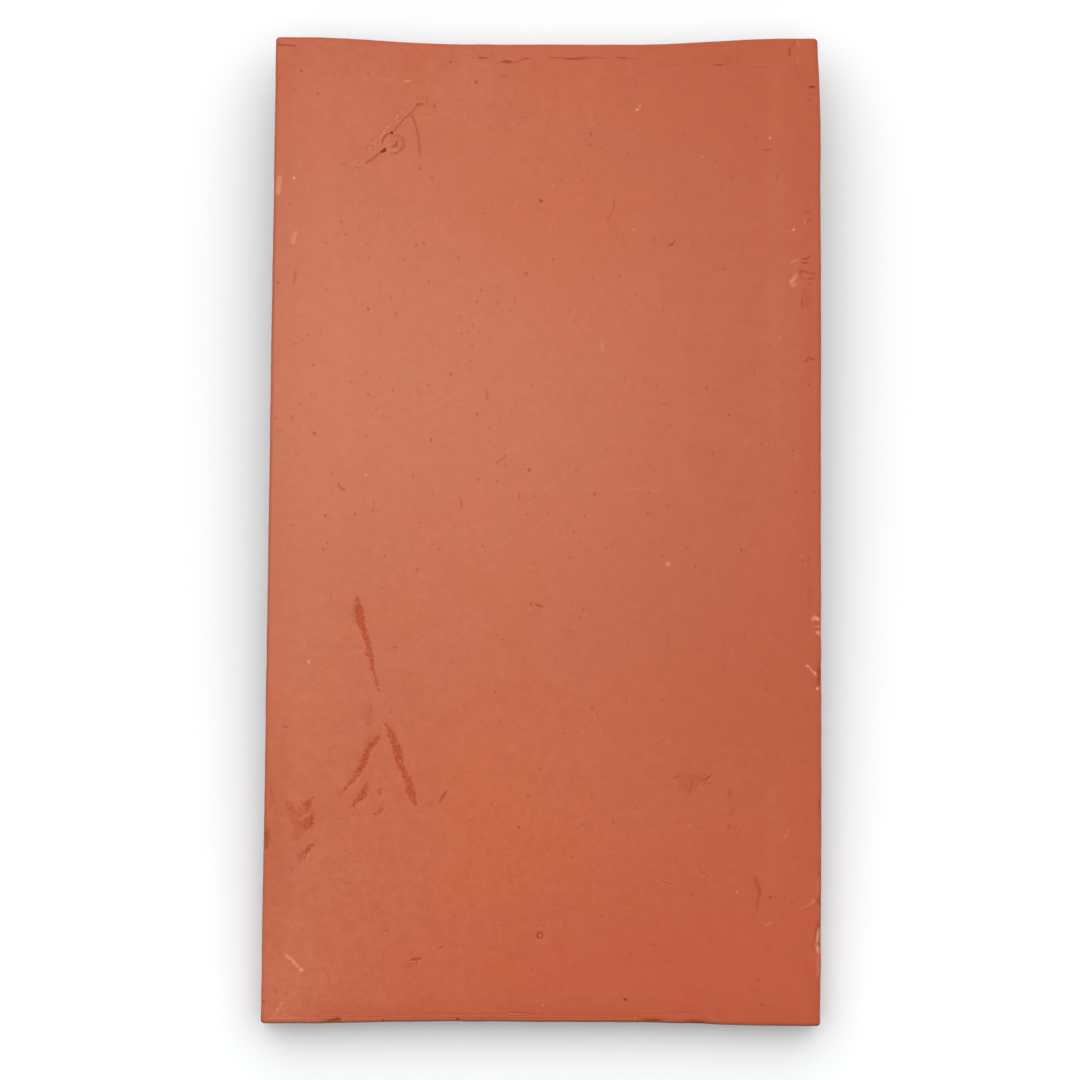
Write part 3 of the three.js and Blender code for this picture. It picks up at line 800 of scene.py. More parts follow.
columns = np.arange(window_x[0], window_x[1])
rows = np.arange(window_y[0], window_y[1])
rim_x = np.concatenate((columns, 0 * rows + window_x[1], columns[::-1] + 1, 0 * rows + window_x[0]))
rim_y = np.concatenate((0 * columns + window_y[0], rows, 0 * columns + window_y[1], rows[::-1] + 1))
rim_a = 2 * (rim_x - window_x[0]) / (window_x[1] - window_x[0]) - 1
rim_b = 2 * (rim_y - window_y[0]) / (window_y[1] - window_y[0]) - 1
turns = np.linspace(0, np.pi / 2, FILLET_RINGS + 1)
levels = [(NIB_HEIGHT - NIB_FILLET * (1 - np.cos(t)), NIB_FILLET * (1 - np.sin(t))) for t in turns]
for height in np.linspace(NIB_HEIGHT - NIB_FILLET, NIB_FOOT_RADIUS, SIDE_RINGS + 1)[1:]:
    levels.append((height, 0))
for t in turns[1:]:
    levels.append((NIB_FOOT_RADIUS * (1 - np.sin(t)), -NIB_FOOT_RADIUS * (1 - np.cos(t))))
rings = np.concatenate([nib_ring(rim_a, rim_b, height, spread) for height, spread in levels])
print("nib rings:", len(levels), "of", len(rim_x), "points")

# %% [markdown]
# The foot is closed by a patch that is blended from the last ring: each inner point is the sum of two
# straight blends between opposite sides, less the blend of the four corners.

# %% Foot of the nib and all faces
rim_count = len(rim_x)
last_ring = rings[-rim_count:]
size_x, size_y = len(columns), len(rows)
foot = np.zeros((size_x + 1, size_y + 1, 3))
foot[rim_x - window_x[0], rim_y - window_y[0]] = last_ring
share_x = np.linspace(0, 1, size_x + 1)[:, None, None]
share_y = np.linspace(0, 1, size_y + 1)[None, :, None]
ends = (1 - share_y) * foot[:, :1] + share_y * foot[:, -1:]
sides = (1 - share_x) * foot[:1] + share_x * foot[-1:]
corners = (1 - share_x) * ((1 - share_y) * foot[0, 0] + share_y * foot[0, -1])
corners = corners + share_x * ((1 - share_y) * foot[-1, 0] + share_y * foot[-1, -1])
inner = (ends + sides - corners)[1:-1, 1:-1].reshape(-1, 3)

first_ring = len(slab)
first_inner = first_ring + len(rings)
ring_numbers = first_ring + np.arange(len(rings)).reshape(-1, rim_count)
ring_numbers = np.concatenate(([number[rim_x, rim_y, 0]], ring_numbers))
foot_numbers = np.zeros((size_x + 1, size_y + 1), int)
foot_numbers[rim_x - window_x[0], rim_y - window_y[0]] = ring_numbers[-1]
foot_numbers[1:-1, 1:-1] = first_inner + np.arange(len(inner)).reshape(size_x - 1, size_y - 1)
following = np.roll(ring_numbers, -1, axis=1)
ring_quads = np.stack((ring_numbers[:-1], ring_numbers[1:], following[1:], following[:-1]), axis=-1)

points = np.concatenate((slab, rings, inner))
all_quads = np.concatenate((slab_quads, ring_quads.reshape(-1, 4), quads(foot_numbers.T)))
print("points:", len(points), "triangles:", 2 * len(all_quads))

# %% [markdown]
# ## Clay that was never quite even
# Under the tile and round the nib there are no planned marks, only clay that a hand pressed and a
# sanded board let go of. Noise moves those points along their own normals, always inwards, and less
# near the foot, which stands on the floor.

# %% Make the mesh
UNEVEN = 0.3 * MM
UNEVEN_SIZE = 13 * MM
STILL_UNDER = 4 * MM


def make_mesh(name, points, faces):
    """Mesh data of points and four-sided faces, smooth all over."""
    mesh = bpy.data.meshes.new(name)
    mesh.from_pydata(points.tolist(), [], faces.tolist())
    mesh.polygons.foreach_set("use_smooth", np.ones(len(faces), bool))
    mesh.update()
    return mesh


def point_normals(mesh):
    """The mean direction of the faces round each point."""
    normals = np.zeros(3 * len(mesh.vertices), np.float32)
    mesh.vertex_normals.foreach_get("vector", normals)
    return normals.reshape(-1, 3)


def spread_out(values, fill):
    """A value for every point: the slab's own, and the fill on the nib."""
    return np.concatenate((values, np.full(len(points) - len(values), fill)))


mesh = make_mesh("roof_tile_skin", points, all_quads)
face_share = spread_out(on_face, 0)
uneven = 0.5 + 0.5 * rough_noise(points, UNEVEN_SIZE, SEEDS["uneven"])
off_floor = smooth(0, STILL_UNDER, points[:, 2])
points = points - point_normals(mesh) * (UNEVEN * uneven * (1 - face_share) * off_floor)[:, None]
mesh.vertices.foreach_set("co", points.ravel())
mesh.update()

tile = bpy.data.objects.new("roof_tile_skin", mesh)
bpy.context.scene.collection.objects.link(tile)
print("skin, metres:", points.min(axis=0).round(4), "to", points.max(axis=0).round(4))

# %% [markdown]
# ## Handing the distances to the material
# Each distance becomes an attribute of the points, in millimetres, which the material reads by name.

# %% Attributes
FAR_MM = FAR / MM


def add_value(name, values, fill):
    """One number for each point."""
    attribute = mesh.attributes.new(name, "FLOAT", "POINT")
    attribute.data.foreach_set("value", spread_out(values, fill).astype(np.float32))


def add_vector(name, values):
    """Three numbers for each point, all 0 on the nib."""
    attribute = mesh.attributes.new(name, "FLOAT_VECTOR", "POINT")
    filled = np.column_stack([spread_out(column, 0) for column in values.T])
    attribute.data.foreach_set("vector", filled.astype(np.float32).ravel())


def face_only(gap):
    """A gap in mm, and far away on every point that isn't on the face or its arrises."""
    return np.where(outwards[:, 2] > 0.1, gap / MM, FAR_MM)


add_value("face", on_face, 0)
add_value("edge_gap", np.where(on_face > 0.5, edge_gap / MM, 0), 0)
add_value("end_gap", end_gap / MM, FAR_MM)
for name, strength in tints.items():
    add_value(name, strength, 0)
for name, gap in gaps.items():
    add_value(name + "_gap", face_only(gap), FAR_MM)
hair[:, 1] *= on_face
spot[:, 2] *= on_face
add_vector("hair", hair)
add_vector("spot", spot[:, :3])
add_vector("spot_look", spot[:, 3:])
print("attributes:", [attribute.name for attribute in mesh.attributes if not attribute.is_internal])

# %% [markdown]
# ## Shader helpers
# Materials are built from nodes in code. A few short helpers keep that readable: one adds a node and
# sets or links its inputs, some do arithmetic, and one turns a range of values into a soft step.


# %% Node helpers
def set_inputs(tree, node, inputs):
    """Each input gets a plain value, or a link when it is the output of another node."""
    for name, value in inputs.items():
        if isinstance(value, bpy.types.NodeSocket):
            tree.links.new(value, node.inputs[name])
        else:
            node.inputs[name].default_value = value


def add_node(tree, kind, inputs=None, **settings):
    """A node with its settings and its inputs."""
    made = tree.nodes.new("ShaderNode" + kind)
    for name, value in settings.items():
        setattr(made, name, value)
    set_inputs(tree, made, inputs or {})
    return made


def calculate(tree, operation, first, second=0.0, clamp=False):
    """One step of arithmetic on two numbers."""
    return add_node(tree, "Math", {0: first, 1: second}, operation=operation, use_clamp=clamp).outputs[0]


def times(tree, first, second, clamp=False):
    """The product of two numbers."""
    return calculate(tree, "MULTIPLY", first, second, clamp)


def plus(tree, first, second, clamp=False):
    """The sum of two numbers."""
    return calculate(tree, "ADD", first, second, clamp)


def minus(tree, first, second, clamp=False):
    """The difference of two numbers."""
    return calculate(tree, "SUBTRACT", first, second, clamp)


def vector(tree, operation, first, second):
    """One step of arithmetic on two vectors."""
    return add_node(tree, "VectorMath", {0: first, 1: second}, operation=operation).outputs[0]


def parts(tree, value):
    """The X, Y and Z of a vector."""
    return add_node(tree, "SeparateXYZ", {"Vector": value}).outputs


def step(tree, value, low, high, at_low=0.0, at_high=1.0):
    """A smooth step from one number to another while the value goes from low to high."""
    inputs = {"Value": value, "From Min": low, "From Max": high, "To Min": at_low, "To Max": at_high}
    return add_node(tree, "MapRange", inputs, interpolation_type="SMOOTHSTEP").outputs["Result"]


def blend(tree, share, first, second, kind="MIX"):
    """Mixes two colours by a share from 0 to 1."""
    made = add_node(tree, "Mix", {"Factor": share, 6: first, 7: second}, data_type="RGBA", blend_type=kind)
    return made.outputs[2]


def noise(tree, place, size_mm, detail=2.0, roughness=0.5):
    """Noise from 0 to 1 whose features are about so many millimetres across."""
    inputs = {"Vector": place, "Scale": 1 / size_mm, "Detail": detail, "Roughness": roughness}
    return add_node(tree, "TexNoise", inputs).outputs["Fac"]


def new_group(name, inputs, outputs):
    """A node group with named sockets, and its own input and output nodes."""
    tree = bpy.data.node_groups.new(name, "ShaderNodeTree")
    for title, value in inputs.items():
        kind = "NodeSocketVector" if isinstance(value, tuple) else "NodeSocketFloat"
        tree.interface.new_socket(title, in_out="INPUT", socket_type=kind).default_value = value
    for title in outputs:
        tree.interface.new_socket(title, in_out="OUTPUT", socket_type="NodeSocketFloat")
    source = tree.nodes.new("NodeGroupInput").outputs
    target = tree.nodes.new("NodeGroupOutput").inputs
    return tree, source, target


def use_group(tree, group, inputs):
    """Places a group in a material."""
    made = tree.nodes.new("ShaderNodeGroup")
    made.node_tree = group
    set_inputs(tree, made, inputs)
    return made.outputs


def srgb(red, green, blue):
    """A colour as seen on a screen, 0 to 255, as the linear colour that shaders use."""
    seen = np.array((red, green, blue)) / 255
    linear = np.where(seen > 0.04045, ((seen + 0.055) / 1.055) ** 2.4, seen / 12.92)
    return (*linear, 1.0)


# %% [markdown]
# ## Effects that the fired clay is mixed from
# Each effect is a node group, built once: pits, drag lines, ragged patches, hair lines and single
# spots. A group only works out a mask, from 0 to 1, or below 0 for a pale line. What the mask does to
# colour, gloss and height is decided in the material.

# %% Pits
ORIGIN = (0.0, 0.0, 0.0)


def pits_group():
    """A bowl in some cells of a flat Voronoi pattern: 1 less the squared share of the cell's own radius."""
    inputs = {"Place": ORIGIN, "Spacing": 5.0, "Share": 0.5, "Radius": 0.5}
    tree, source, target = new_group("clay_pits", inputs, ["Depth"])
    stretched = vector(tree, "MULTIPLY", source["Place"], (1, 0.6, 0))
    scale = calculate(tree, "DIVIDE", 1.0, source["Spacing"])
    pattern = {"Vector": stretched, "Scale": scale}
    cells = add_node(tree, "TexVoronoi", pattern, voronoi_dimensions="2D").outputs
    chance = add_node(tree, "SeparateColor", {"Color": cells["Color"]}).outputs
    radius = times(tree, source["Radius"], step(tree, chance[1], 0, 1, 0.35, 1.0))
    share = calculate(tree, "DIVIDE", times(tree, cells["Distance"], source["Spacing"]), radius)
    bowl = minus(tree, 1.0, times(tree, share, share), clamp=True)
    chosen = calculate(tree, "LESS_THAN", chance[0], source["Share"])
    strength = times(tree, chosen, calculate(tree, "POWER", chance[2], 3.0))
    tree.links.new(times(tree, bowl, strength), target["Depth"])
    return tree


# %% Drag lines
def drag_group():
    """Noise squeezed across the tile and drawn out along it, as a strike board leaves it."""
    tree, source, target = new_group("drag_lines", {"Place": ORIGIN, "Fineness": 1.0}, ["Line"])
    drawn = vector(tree, "MULTIPLY", source["Place"], (1, 0.03, 1))
    moved = vector(tree, "ADD", drawn, (3.1, 17.3, 5.7))
    scale = calculate(tree, "DIVIDE", 1.0, source["Fineness"])
    lines = add_node(tree, "TexNoise", {"Vector": moved, "Scale": scale, "Detail": 2.0}).outputs["Fac"]
    tree.links.new(lines, target["Line"])
    return tree


# %% Ragged patches
def patch_group():
    """1 where the gap to a mark's edge, shaken by noise, is below 0. The rim is a band just outside it."""
    inputs = {"Gap": 10.0, "Shake": 0.5, "Ragged": 0.5, "Soft": 0.2}
    tree, source, target = new_group("ragged_patch", inputs, ["Mask", "Rim"])
    shake = times(tree, minus(tree, source["Shake"], 0.5), 3.0)
    gap = plus(tree, source["Gap"], times(tree, shake, source["Ragged"]))
    share = calculate(tree, "DIVIDE", gap, source["Soft"])
    mask = step(tree, share, -1, 1, 1.0, 0.0)
    tree.links.new(mask, target["Mask"])
    tree.links.new(minus(tree, step(tree, share, 0, 2.4, 1.0, 0.0), mask, clamp=True), target["Rim"])
    return tree


# %% Hair lines
def hair_group():
    """Darkness of a line, below 0 if it is pale: the shaken distance across it, over half its width."""
    tree, source, target = new_group("hair_lines", {"Hair": ORIGIN, "Shake": 0.5, "Break": 0.5}, ["Mask"])
    hair = parts(tree, source["Hair"])
    across = plus(tree, hair["X"], times(tree, minus(tree, source["Shake"], 0.5), 0.7))
    share = calculate(tree, "DIVIDE", calculate(tree, "ABSOLUTE", across), hair["Z"])
    line = step(tree, share, 0.4, 1.6, 1.0, 0.0)
    unbroken = step(tree, source["Break"], 0.3, 0.45, 0.35, 1.0)
    tree.links.new(times(tree, times(tree, line, unbroken), hair["Y"]), target["Mask"])
    return tree


# %% Single spots
def spot_group():
    """1 inside a spot's radius, or only near its rim for a ring."""
    inputs = {"Spot": ORIGIN, "Look": (1.0, 0.0, 0.0), "Shake": 0.5}
    tree, source, target = new_group("single_spots", inputs, ["Mask", "Tone"])
    offset, look = parts(tree, source["Spot"]), parts(tree, source["Look"])
    squares = [times(tree, offset[axis], offset[axis]) for axis in "XY"]
    distance = calculate(tree, "SQRT", plus(tree, *squares))
    distance = plus(tree, distance, times(tree, minus(tree, source["Shake"], 0.5), 0.6))
    share = calculate(tree, "DIVIDE", distance, look["X"])
    disc = step(tree, share, 0.55, 1.05, 1.0, 0.0)
    hollow = times(tree, step(tree, share, 0.22, 0.55, 1.0, 0.0), look["Z"])
    mask = times(tree, minus(tree, disc, hollow, clamp=True), offset["Z"])
    tree.links.new(mask, target["Mask"])
    tree.links.new(look["Y"], target["Tone"])
    return tree


PITS = pits_group()
DRAG = drag_group()
PATCH = patch_group()
HAIR = hair_group()
SPOT = spot_group()
print("effects:", [group.name for group in bpy.data.node_groups])

# %% [markdown]
# ## Fired clay
# Fired clay isn't painted: its colour runs through it. It is pale and warm where the surface was rubbed,
# redder where wet clay was disturbed and along the edges, and buff where a broken arris shows the coarse
# inside. It is matt, but not dead: the smoothed face has a wide, weak sheen. Some of the colour is painted
# light: painted sheen low on the left, on the arrises and along pale streaks, painted highlights on stroke
# rims and crumbs, and painted shade in pits, cracks and notches, between crumbs, at the ends, over the right
# side and at the top middle.

# %% The clay's colours
CLAY_DARK = srgb(186, 81, 48)
CLAY_PALE = srgb(195, 97, 67)
CLAY_PINK = srgb(192, 96, 71)
CLAY_ORANGE = srgb(198, 89, 50)
# Darker, redder clay along the edges, and painted shade over the right side.
CLAY_EDGE_AND_SHADE = srgb(184, 81, 51)
CLAY_STROKE = srgb(175, 71, 41)
CLAY_CORE = srgb(150, 48, 20)
# Painted shade: the dark colour laid into pits, cracks, notches, dark spots and between crumbs.
CLAY_PIT_SHADE = srgb(136, 42, 18)
CLAY_GRIT = srgb(168, 68, 38)
CLAY_BUFF = srgb(206, 126, 92)
CLAY_CREAM = srgb(224, 143, 112)
# Pale clay for flecks, and painted sheen and highlights: low on the left, in the pale tint, along streaks and
# on crumb tops.
CLAY_PALE_FLECK_AND_SHEEN = srgb(204, 116, 84)
# Pale flecks in the strokes, and the painted highlight on their rims.
CLAY_FLECK_AND_HIGHLIGHT = srgb(215, 106, 80)
# The clay of the walls and underside, and painted sheen on the arrises.
CLAY_BARE_AND_SHEEN = srgb(194, 115, 94)
CLAY_END_SHADE = srgb(138, 100, 92)
TINT_COLOURS = {
    # The colour of the painted shade at the top middle.
    "warm": srgb(190, 80, 42),
    "gold": srgb(208, 104, 60),
    "red": srgb(196, 80, 54),
    # The colour of the painted sheen low on the left.
    "pale": CLAY_PALE_FLECK_AND_SHEEN,
    "dull": CLAY_GRIT,
}


# %% How the masks look
# Each noise: the size of its features in mm, its detail and its roughness.
NOISES = {
    "grain": (0.6, 2.0, 0.6),
    "ragged": (1.0, 3.0, 0.75),
    "fine": (1.4, 2.0, 0.6),
    "tone": (9, 5.0, 0.8),
    "hue": (34, 3.0, 0.6),
    "mottle": (2.6, 3.0, 0.8),
}
# Each kind of mark: the noise that tears its edge, how far in mm, and how soft the edge is in mm.
TORN = {
    "stroke": ("ragged", 1.1, 0.3),
    "chip": ("fine", 0.6, 0.25),
    "notch": ("fine", 0.5, 0.5),
    "rub": ("fine", 0.8, 0.5),
    "streak": ("tone", 2.5, 2.5),
    "smudge": ("ragged", 1.6, 0.8),
    "crumb": ("fine", 0.4, 0.25),
}
# Each kind of random pit: spacing in mm, share of the cells that have one, and radius in mm.
PIT_KINDS = {"large_pits": (6.0, 0.7, 0.44), "small_pits": (3.4, 0.7, 0.42), "flecks": (6.3, 0.6, 0.5)}
WARP_SIZE = 0.9
DRAG_FINENESS = 0.9


def read(tree, name, output="Fac"):
    """An attribute of the points."""
    return add_node(tree, "Attribute", attribute_name=name).outputs[output]


def clay_masks(tree, place):
    """Every mask that the clay's colour, gloss and height are made from, by name."""
    masks = {name: noise(tree, place, *look) for name, look in NOISES.items()}
    face = read(tree, "face")
    masks.update(face=face, bare=minus(tree, 1.0, face, clamp=True), edge_gap=read(tree, "edge_gap"))
    for name, (shake, reach, soft) in TORN.items():
        inputs = {"Gap": read(tree, name + "_gap"), "Shake": masks[shake], "Ragged": reach, "Soft": soft}
        torn = use_group(tree, PATCH, inputs)
        masks[name], masks[name + "_rim"] = torn["Mask"], torn["Rim"]

    warp = add_node(tree, "TexNoise", {"Vector": place, "Scale": 1 / WARP_SIZE, "Detail": 2.0})
    warped = vector(tree, "ADD", place, warp.outputs["Color"])
    for name, (spacing, share, radius) in PIT_KINDS.items():
        inputs = {"Place": warped, "Spacing": spacing, "Share": share, "Radius": radius}
        masks[name] = times(tree, use_group(tree, PITS, inputs)["Depth"], face)
    masks["drag"] = use_group(tree, DRAG, {"Place": place, "Fineness": DRAG_FINENESS})["Line"]

    inputs = {"Hair": read(tree, "hair", "Vector"), "Shake": masks["fine"], "Break": masks["tone"]}
    lines = use_group(tree, HAIR, inputs)["Mask"]
    masks["hair"] = calculate(tree, "MAXIMUM", lines, 0.0)
    pale_line = times(tree, calculate(tree, "MINIMUM", lines, 0.0), -1.0)
    look = read(tree, "spot_look", "Vector")
    inputs = {"Spot": read(tree, "spot", "Vector"), "Look": look, "Shake": masks["fine"]}
    spots = use_group(tree, SPOT, inputs)
    masks["dark_spot"] = times(tree, spots["Mask"], times(tree, spots["Tone"], -1, clamp=True))
    pale_spot = times(tree, spots["Mask"], times(tree, spots["Tone"], 1, clamp=True))
    masks["pale"] = calculate(tree, "MAXIMUM", pale_spot, pale_line)
    return SimpleNamespace(**masks)


# %% Colour, gloss and height
def clay_colour(tree, m, across, along):
    """Thin layers of colour, laid on in turn. Each covers the ones before by its mask times its strength."""
    edge_shaken = plus(tree, m.edge_gap, step(tree, m.tone, 0.2, 0.8, -2.5, 2.5))
    # Painted shade on the end arrises and end walls: a dark greyish colour, full at the tail and three
    # quarters as strong at the head.
    at_end = step(tree, read(tree, "end_gap"), 1.6, 3.0, 1.0, 0.0)
    end_shade_share = times(tree, at_end, step(tree, along, -100, 100, 1, 0.75))
    skin = blend(tree, end_shade_share, CLAY_BARE_AND_SHEEN, CLAY_END_SHADE)
    layers = [
        # Wide differences over all of the tile, then towards its tail, left and right sides, edges and head.
        (step(tree, m.hue, 0.45, 0.66), 0.38, CLAY_PINK),
        (step(tree, m.hue, 0.34, 0.55, 1.0, 0.0), 0.28, CLAY_ORANGE),
        (step(tree, along, -130, -20, 0.5, 0.0), step(tree, across, -60, -10), CLAY_ORANGE),
        # Painted sheen: paler on the left side towards the tail.
        (step(tree, along, -130, -50, 0.4, 0.0), step(tree, across, -70, 10, 1.0, 0.0), CLAY_PALE_FLECK_AND_SHEEN),
        # Painted shade: darker and redder over the right side, half as strong near the tail.
        (step(tree, across, -20, 60), step(tree, along, -120, -40, 0.5, 1.0), CLAY_EDGE_AND_SHADE),
        (step(tree, edge_shaken, 0, 12, 0.5, 0.0), m.face, CLAY_EDGE_AND_SHADE),
        # The area tints, of which warm is painted shade and pale is painted sheen.
        *[(read(tree, name), 1.0, tint) for name, tint in TINT_COLOURS.items()],
        (step(tree, along, 138, 149, 0.0, 0.45), step(tree, across, 0, 40, 1.0, 0.0), CLAY_PINK),
        (step(tree, m.mottle, 0.3, 0.7), 0.3, CLAY_GRIT),
        # Clay that was rubbed, touched or crumbled; the streaks, the stroke rims and the crumbs carry painted
        # light as well.
        # Painted sheen: pale streaks along the face.
        (m.streak, 0.1, CLAY_PALE_FLECK_AND_SHEEN),
        (m.flecks, 0.5, CLAY_PALE_FLECK_AND_SHEEN),
        # Painted highlight: pale flecks along the rims of the strokes.
        (m.stroke_rim, step(tree, m.grain, 0.5, 0.58, 0.0, 0.8), CLAY_FLECK_AND_HIGHLIGHT),
        (m.smudge, step(tree, m.fine, 0.3, 0.7, 0.36, 0.6), CLAY_STROKE),
        (m.stroke, step(tree, m.ragged, 0.4, 0.6, 0.3, 0.95), CLAY_STROKE),
        (m.stroke, step(tree, m.grain, 0.56, 0.64, 0.0, 0.6), CLAY_FLECK_AND_HIGHLIGHT),
        (m.stroke, step(tree, m.fine, 0.5, 0.62, 0.0, 0.4), CLAY_CORE),
        # Painted shade between the crumbs, and a painted highlight on their tops.
        (m.crumb_rim, 0.05, CLAY_PIT_SHADE),
        (m.crumb, 0.45, CLAY_PALE_FLECK_AND_SHEEN),
        (m.rub, step(tree, m.fine, 0.35, 0.65, 0.42, 0.7), CLAY_CREAM),
        (m.chip, 0.85, CLAY_BUFF),
        # The rougher clay of the walls and the underside, paler on the arrises as painted sheen and darker at
        # the ends as painted shade, and then every pit, crack and pale grain, the dark ones in painted shade.
        (step(tree, m.bare, 0.0, 0.33), 0.6, skin),
        (end_shade_share, step(tree, m.bare, 0.15, 0.5, 0.0, 0.25), CLAY_END_SHADE),
        (m.notch, 0.45, CLAY_PIT_SHADE),
        (m.small_pits, 0.16, CLAY_PIT_SHADE),
        (m.large_pits, 0.14, CLAY_PIT_SHADE),
        (m.hair, 0.5, CLAY_PIT_SHADE),
        (m.dark_spot, 1.0, CLAY_PIT_SHADE),
        (m.pale, 1.0, CLAY_CREAM),
    ]
    colour = blend(tree, step(tree, m.tone, 0.25, 0.75), CLAY_DARK, CLAY_PALE)
    for mask, strength, tint in layers:
        colour = blend(tree, times(tree, mask, strength), colour, tint)
    return colour


def clay_roughness(tree, m):
    """A smooth face with a wide sheen, and rougher clay wherever it is bare, pressed or broken."""
    rough = step(tree, m.tone, 0.3, 0.7, 0.46, 0.52)
    rougher = ((m.bare, 0.2), (m.stroke, 0.2), (m.chip, 0.25), (m.large_pits, 0.3), (m.rub, 0.1))
    for mask, amount in rougher:
        rough = plus(tree, rough, times(tree, mask, amount), clamp=True)
    return rough


def clay_gloss(tree, m):
    """The usual reflection on the face, and less of it where light gets lost in pits and furrows."""
    hidden = m.dark_spot
    losses = ((m.hair, 0.6), (m.large_pits, 0.35), (m.small_pits, 0.35), (m.stroke, 0.4), (m.smudge, 0.25))
    for mask, amount in losses:
        hidden = calculate(tree, "MAXIMUM", hidden, times(tree, mask, amount))
    return step(tree, hidden, 0.0, 1.0, 0.5, 0.0)


def clay_height(tree, m):
    """Height in mm: fine grain, drag lines, crumbs and pressed strokes, less what pits and cracks take."""
    height = times(tree, m.fine, step(tree, m.bare, 0.0, 1.0, 0.013, 0.4))
    band = step(tree, m.edge_gap, 1.0, 6.0, 0.04, 0.009)
    pressed = times(tree, m.stroke, m.grain)
    for mask, amount in ((m.crumb, 0.06), (m.drag, band), (pressed, 0.2)):
        height = plus(tree, height, times(tree, mask, amount))
    cuts = (
        (m.large_pits, 0.1), (m.small_pits, 0.06), (m.hair, 0.2),
        (m.dark_spot, 0.2), (m.chip, 0.08), (m.stroke, 0.06),
    )
    for mask, depth in cuts:
        height = minus(tree, height, times(tree, mask, depth))
    return height


# %% The material
CLAY_IOR = 1.35
SHEEN_TINT = (1.0, 0.93, 0.68, 1.0)


def fired_clay():
    """The clay's material: one set of masks feeds its colour, roughness, gloss and relief."""
    material = bpy.data.materials.new("fired_clay")
    material.use_nodes = True
    tree = material.node_tree
    coordinates = add_node(tree, "TexCoord").outputs["Object"]
    place = add_node(tree, "VectorMath", {0: coordinates, "Scale": 1 / MM}, operation="SCALE").outputs[0]
    across, along, _ = parts(tree, place)
    masks = clay_masks(tree, place)
    relief = {"Height": clay_height(tree, masks), "Distance": 1 * MM, "Strength": 1.0}
    inputs = {
        "Base Color": clay_colour(tree, masks, across, along),
        "Roughness": clay_roughness(tree, masks),
        "Specular IOR Level": clay_gloss(tree, masks),
        "Normal": add_node(tree, "Bump", relief).outputs["Normal"],
        "IOR": CLAY_IOR,
        "Specular Tint": SHEEN_TINT,
    }
    set_inputs(tree, tree.nodes["Principled BSDF"], inputs)
    return material


mesh.materials.append(fired_clay())
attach(tile, "root")
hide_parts("roof_tile")
print("material nodes:", len(mesh.materials[0].node_tree.nodes))

# %% [markdown]
# ## The floor
# The floor is plain and white. It gives no light of its own, so it keeps the tile's soft shadow. What
# it throws back is less than its own brightness: otherwise it would light the tile's edges from below,
# and they would stain the shadow red in return.


# %% Floor
FLOOR_SIZE = 6.0
FLOOR_SEEN = (0.98, 0.99, 0.995, 1.0)
FLOOR_FELT = (0.05, 0.05, 0.05, 1.0)


def add_floor():
    """A flat square, white to the camera and in mirrors, and darker to the light that bounces off it."""
    half = FLOOR_SIZE / 2
    corners = np.array([[-half, -half, 0], [half, -half, 0], [half, half, 0], [-half, half, 0]])
    floor = bpy.data.objects.new("floor", make_mesh("floor", corners, np.array([[0, 1, 2, 3]])))
    bpy.context.scene.collection.objects.link(floor)
    material = bpy.data.materials.new("floor_white")
    material.use_nodes = True
    tree = material.node_tree
    surface = tree.nodes["Principled BSDF"]
    surface.inputs["Roughness"].default_value = 1.0
    surface.inputs["Specular IOR Level"].default_value = 0.0
    rays = add_node(tree, "LightPath").outputs
    seen = calculate(tree, "MAXIMUM", rays["Is Camera Ray"], rays["Is Glossy Ray"])
    seen = calculate(tree, "MAXIMUM", seen, rays["Is Transmission Ray"])
    tree.links.new(blend(tree, seen, FLOOR_FELT, FLOOR_SEEN), surface.inputs["Base Color"])
    floor.data.materials.append(material)
    return floor


add_floor()

# %% [markdown]
# ## Light
# A tile that is shown in a catalogue stands in light from almost everywhere. A sun lamp with
# a very wide disc does that: its light is equally strong at both ends of the tile, and the shadow is
# soft all round and a little deeper past the tail, because the disc leans towards the head. The world
# fills in. A small lamp on the left is kept out of the diffuse light: it only makes the wide, weak
# sheen that smoothed clay has.


# %% Lamps and world
SUN_LEAN = np.radians(25)
SUN_DISC = np.radians(100)
SUN_STRENGTH = 2.9
SHEEN_PLACE = (-0.105, 0.052, 0.4)
SHEEN_TARGET = (-0.085, 0.045, 0.0)
SHEEN_SIZE = (0.1, 0.31)
SHEEN_STRENGTH = 1.95
WORLD_STRENGTH = 0.2


def add_lamp(name, kind, location, target, energy):
    """A white lamp that faces its target."""
    light = bpy.data.lights.new(name, kind)
    light.energy = energy
    lamp = bpy.data.objects.new(name, light)
    bpy.context.scene.collection.objects.link(lamp)
    forward = np.array(target, float) - np.array(location, float)
    forward /= np.linalg.norm(forward)
    right = np.cross(forward, (1, 0, 0))
    right /= np.linalg.norm(right)
    axes = np.column_stack((right, np.cross(right, forward), -forward))
    lamp.matrix_world = Matrix(axes.tolist()).to_4x4()
    lamp.location = location
    return lamp


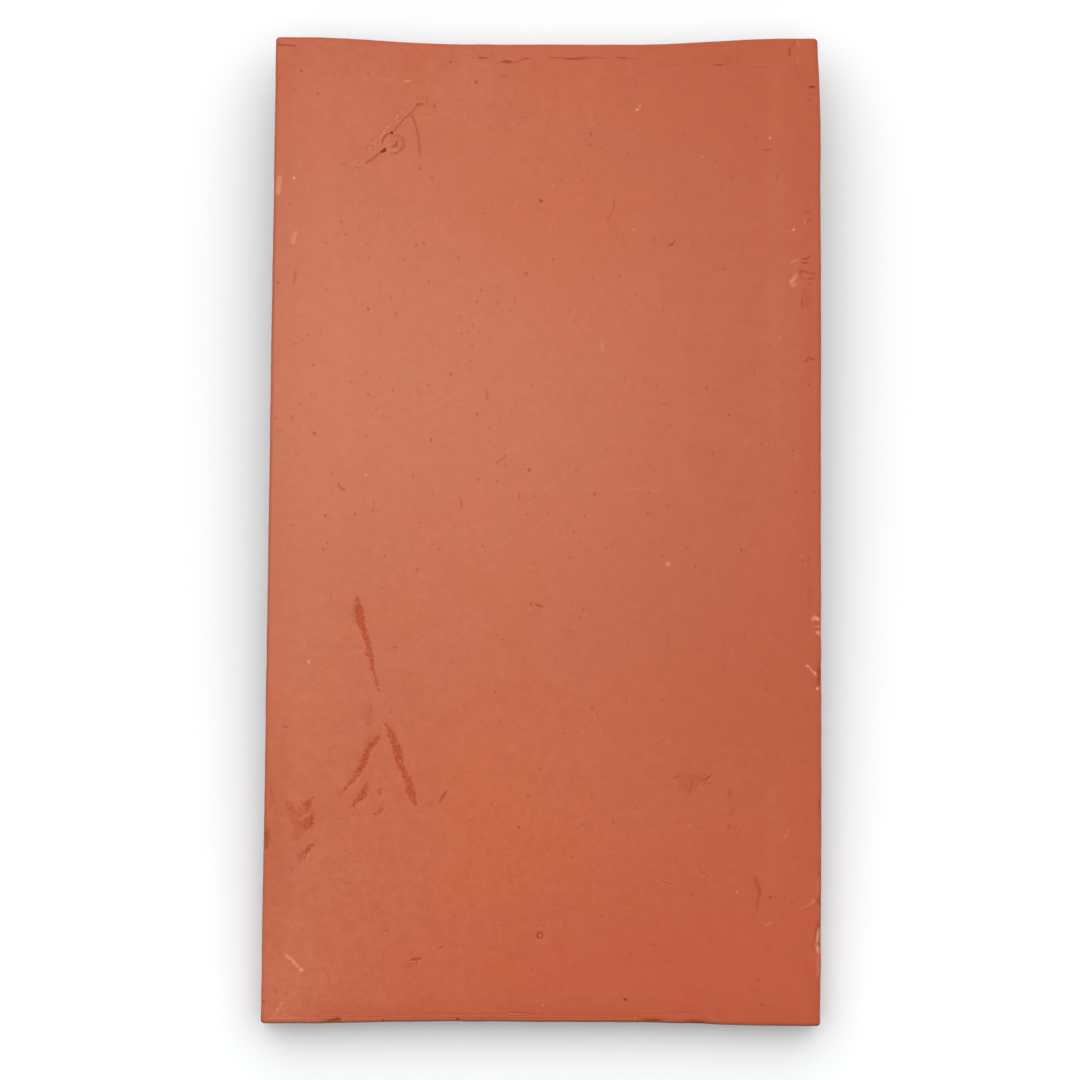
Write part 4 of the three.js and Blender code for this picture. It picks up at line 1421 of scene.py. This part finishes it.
def add_world(strength):
    """An even white world: white to the camera, and dimmer as a light."""
    world = bpy.data.worlds.new("studio")
    bpy.context.scene.world = world
    world.use_nodes = True
    tree = world.node_tree
    rays = add_node(tree, "LightPath").outputs
    level = step(tree, rays["Is Camera Ray"], 0, 1, strength, 1.0)
    tree.links.new(level, tree.nodes["Background"].inputs["Strength"])
    tree.nodes["Background"].inputs["Color"].default_value = (1, 1, 1, 1)


sun_place = (0, np.sin(SUN_LEAN), np.cos(SUN_LEAN))
wide_sun = add_lamp("wide_sun", "SUN", sun_place, (0, 0, 0), SUN_STRENGTH)
wide_sun.data.angle = SUN_DISC
sheen = add_lamp("sheen", "AREA", SHEEN_PLACE, SHEEN_TARGET, SHEEN_STRENGTH)
sheen.data.shape = "RECTANGLE"
sheen.data.size, sheen.data.size_y = SHEEN_SIZE
sheen.visible_diffuse = False
add_world(WORLD_STRENGTH)

# %% [markdown]
# ## Camera
# The camera looks squarely down on the face from far away, so the outline shows no perspective. Its
# field is worked out from the tile: so many units of the square frame for the tile's length.

# %% Camera
SENSOR = 36.0
middle = tip(bend(np.array([[0, 0, HALF_THICKNESS - CROWN]])), REST_TILT)[0] + shift
toward = tip(np.array([[0, 0, 1.0]]), REST_TILT)[0]
across = np.array([1.0, 0, 0])
along = tip(np.array([[0, 1.0, 0]]), REST_TILT)[0]
frame_right = np.cos(TURN) * across + np.sin(TURN) * along
frame_up = -np.sin(TURN) * across + np.cos(TURN) * along
off_middle = FRAME_UNITS / 2 - TILE_MIDDLE
aim = middle + frame_right * off_middle[0] * UNIT - frame_up * off_middle[1] * UNIT
lens = bpy.data.cameras.new("camera")
lens.sensor_width = SENSOR
lens.sensor_fit = "HORIZONTAL"
lens.lens = SENSOR * (CAMERA_DISTANCE + OUTLINE_DROP) / (FRAME_UNITS * UNIT)
camera = bpy.data.objects.new("camera", lens)
bpy.context.scene.collection.objects.link(camera)
camera.matrix_world = Matrix(np.column_stack((frame_right, frame_up, toward)).tolist()).to_4x4()
camera.location = aim + toward * CAMERA_DISTANCE
bpy.context.scene.camera = camera
bpy.context.scene.view_settings.view_transform = "Standard"
print("lens, mm:", round(lens.lens, 1))
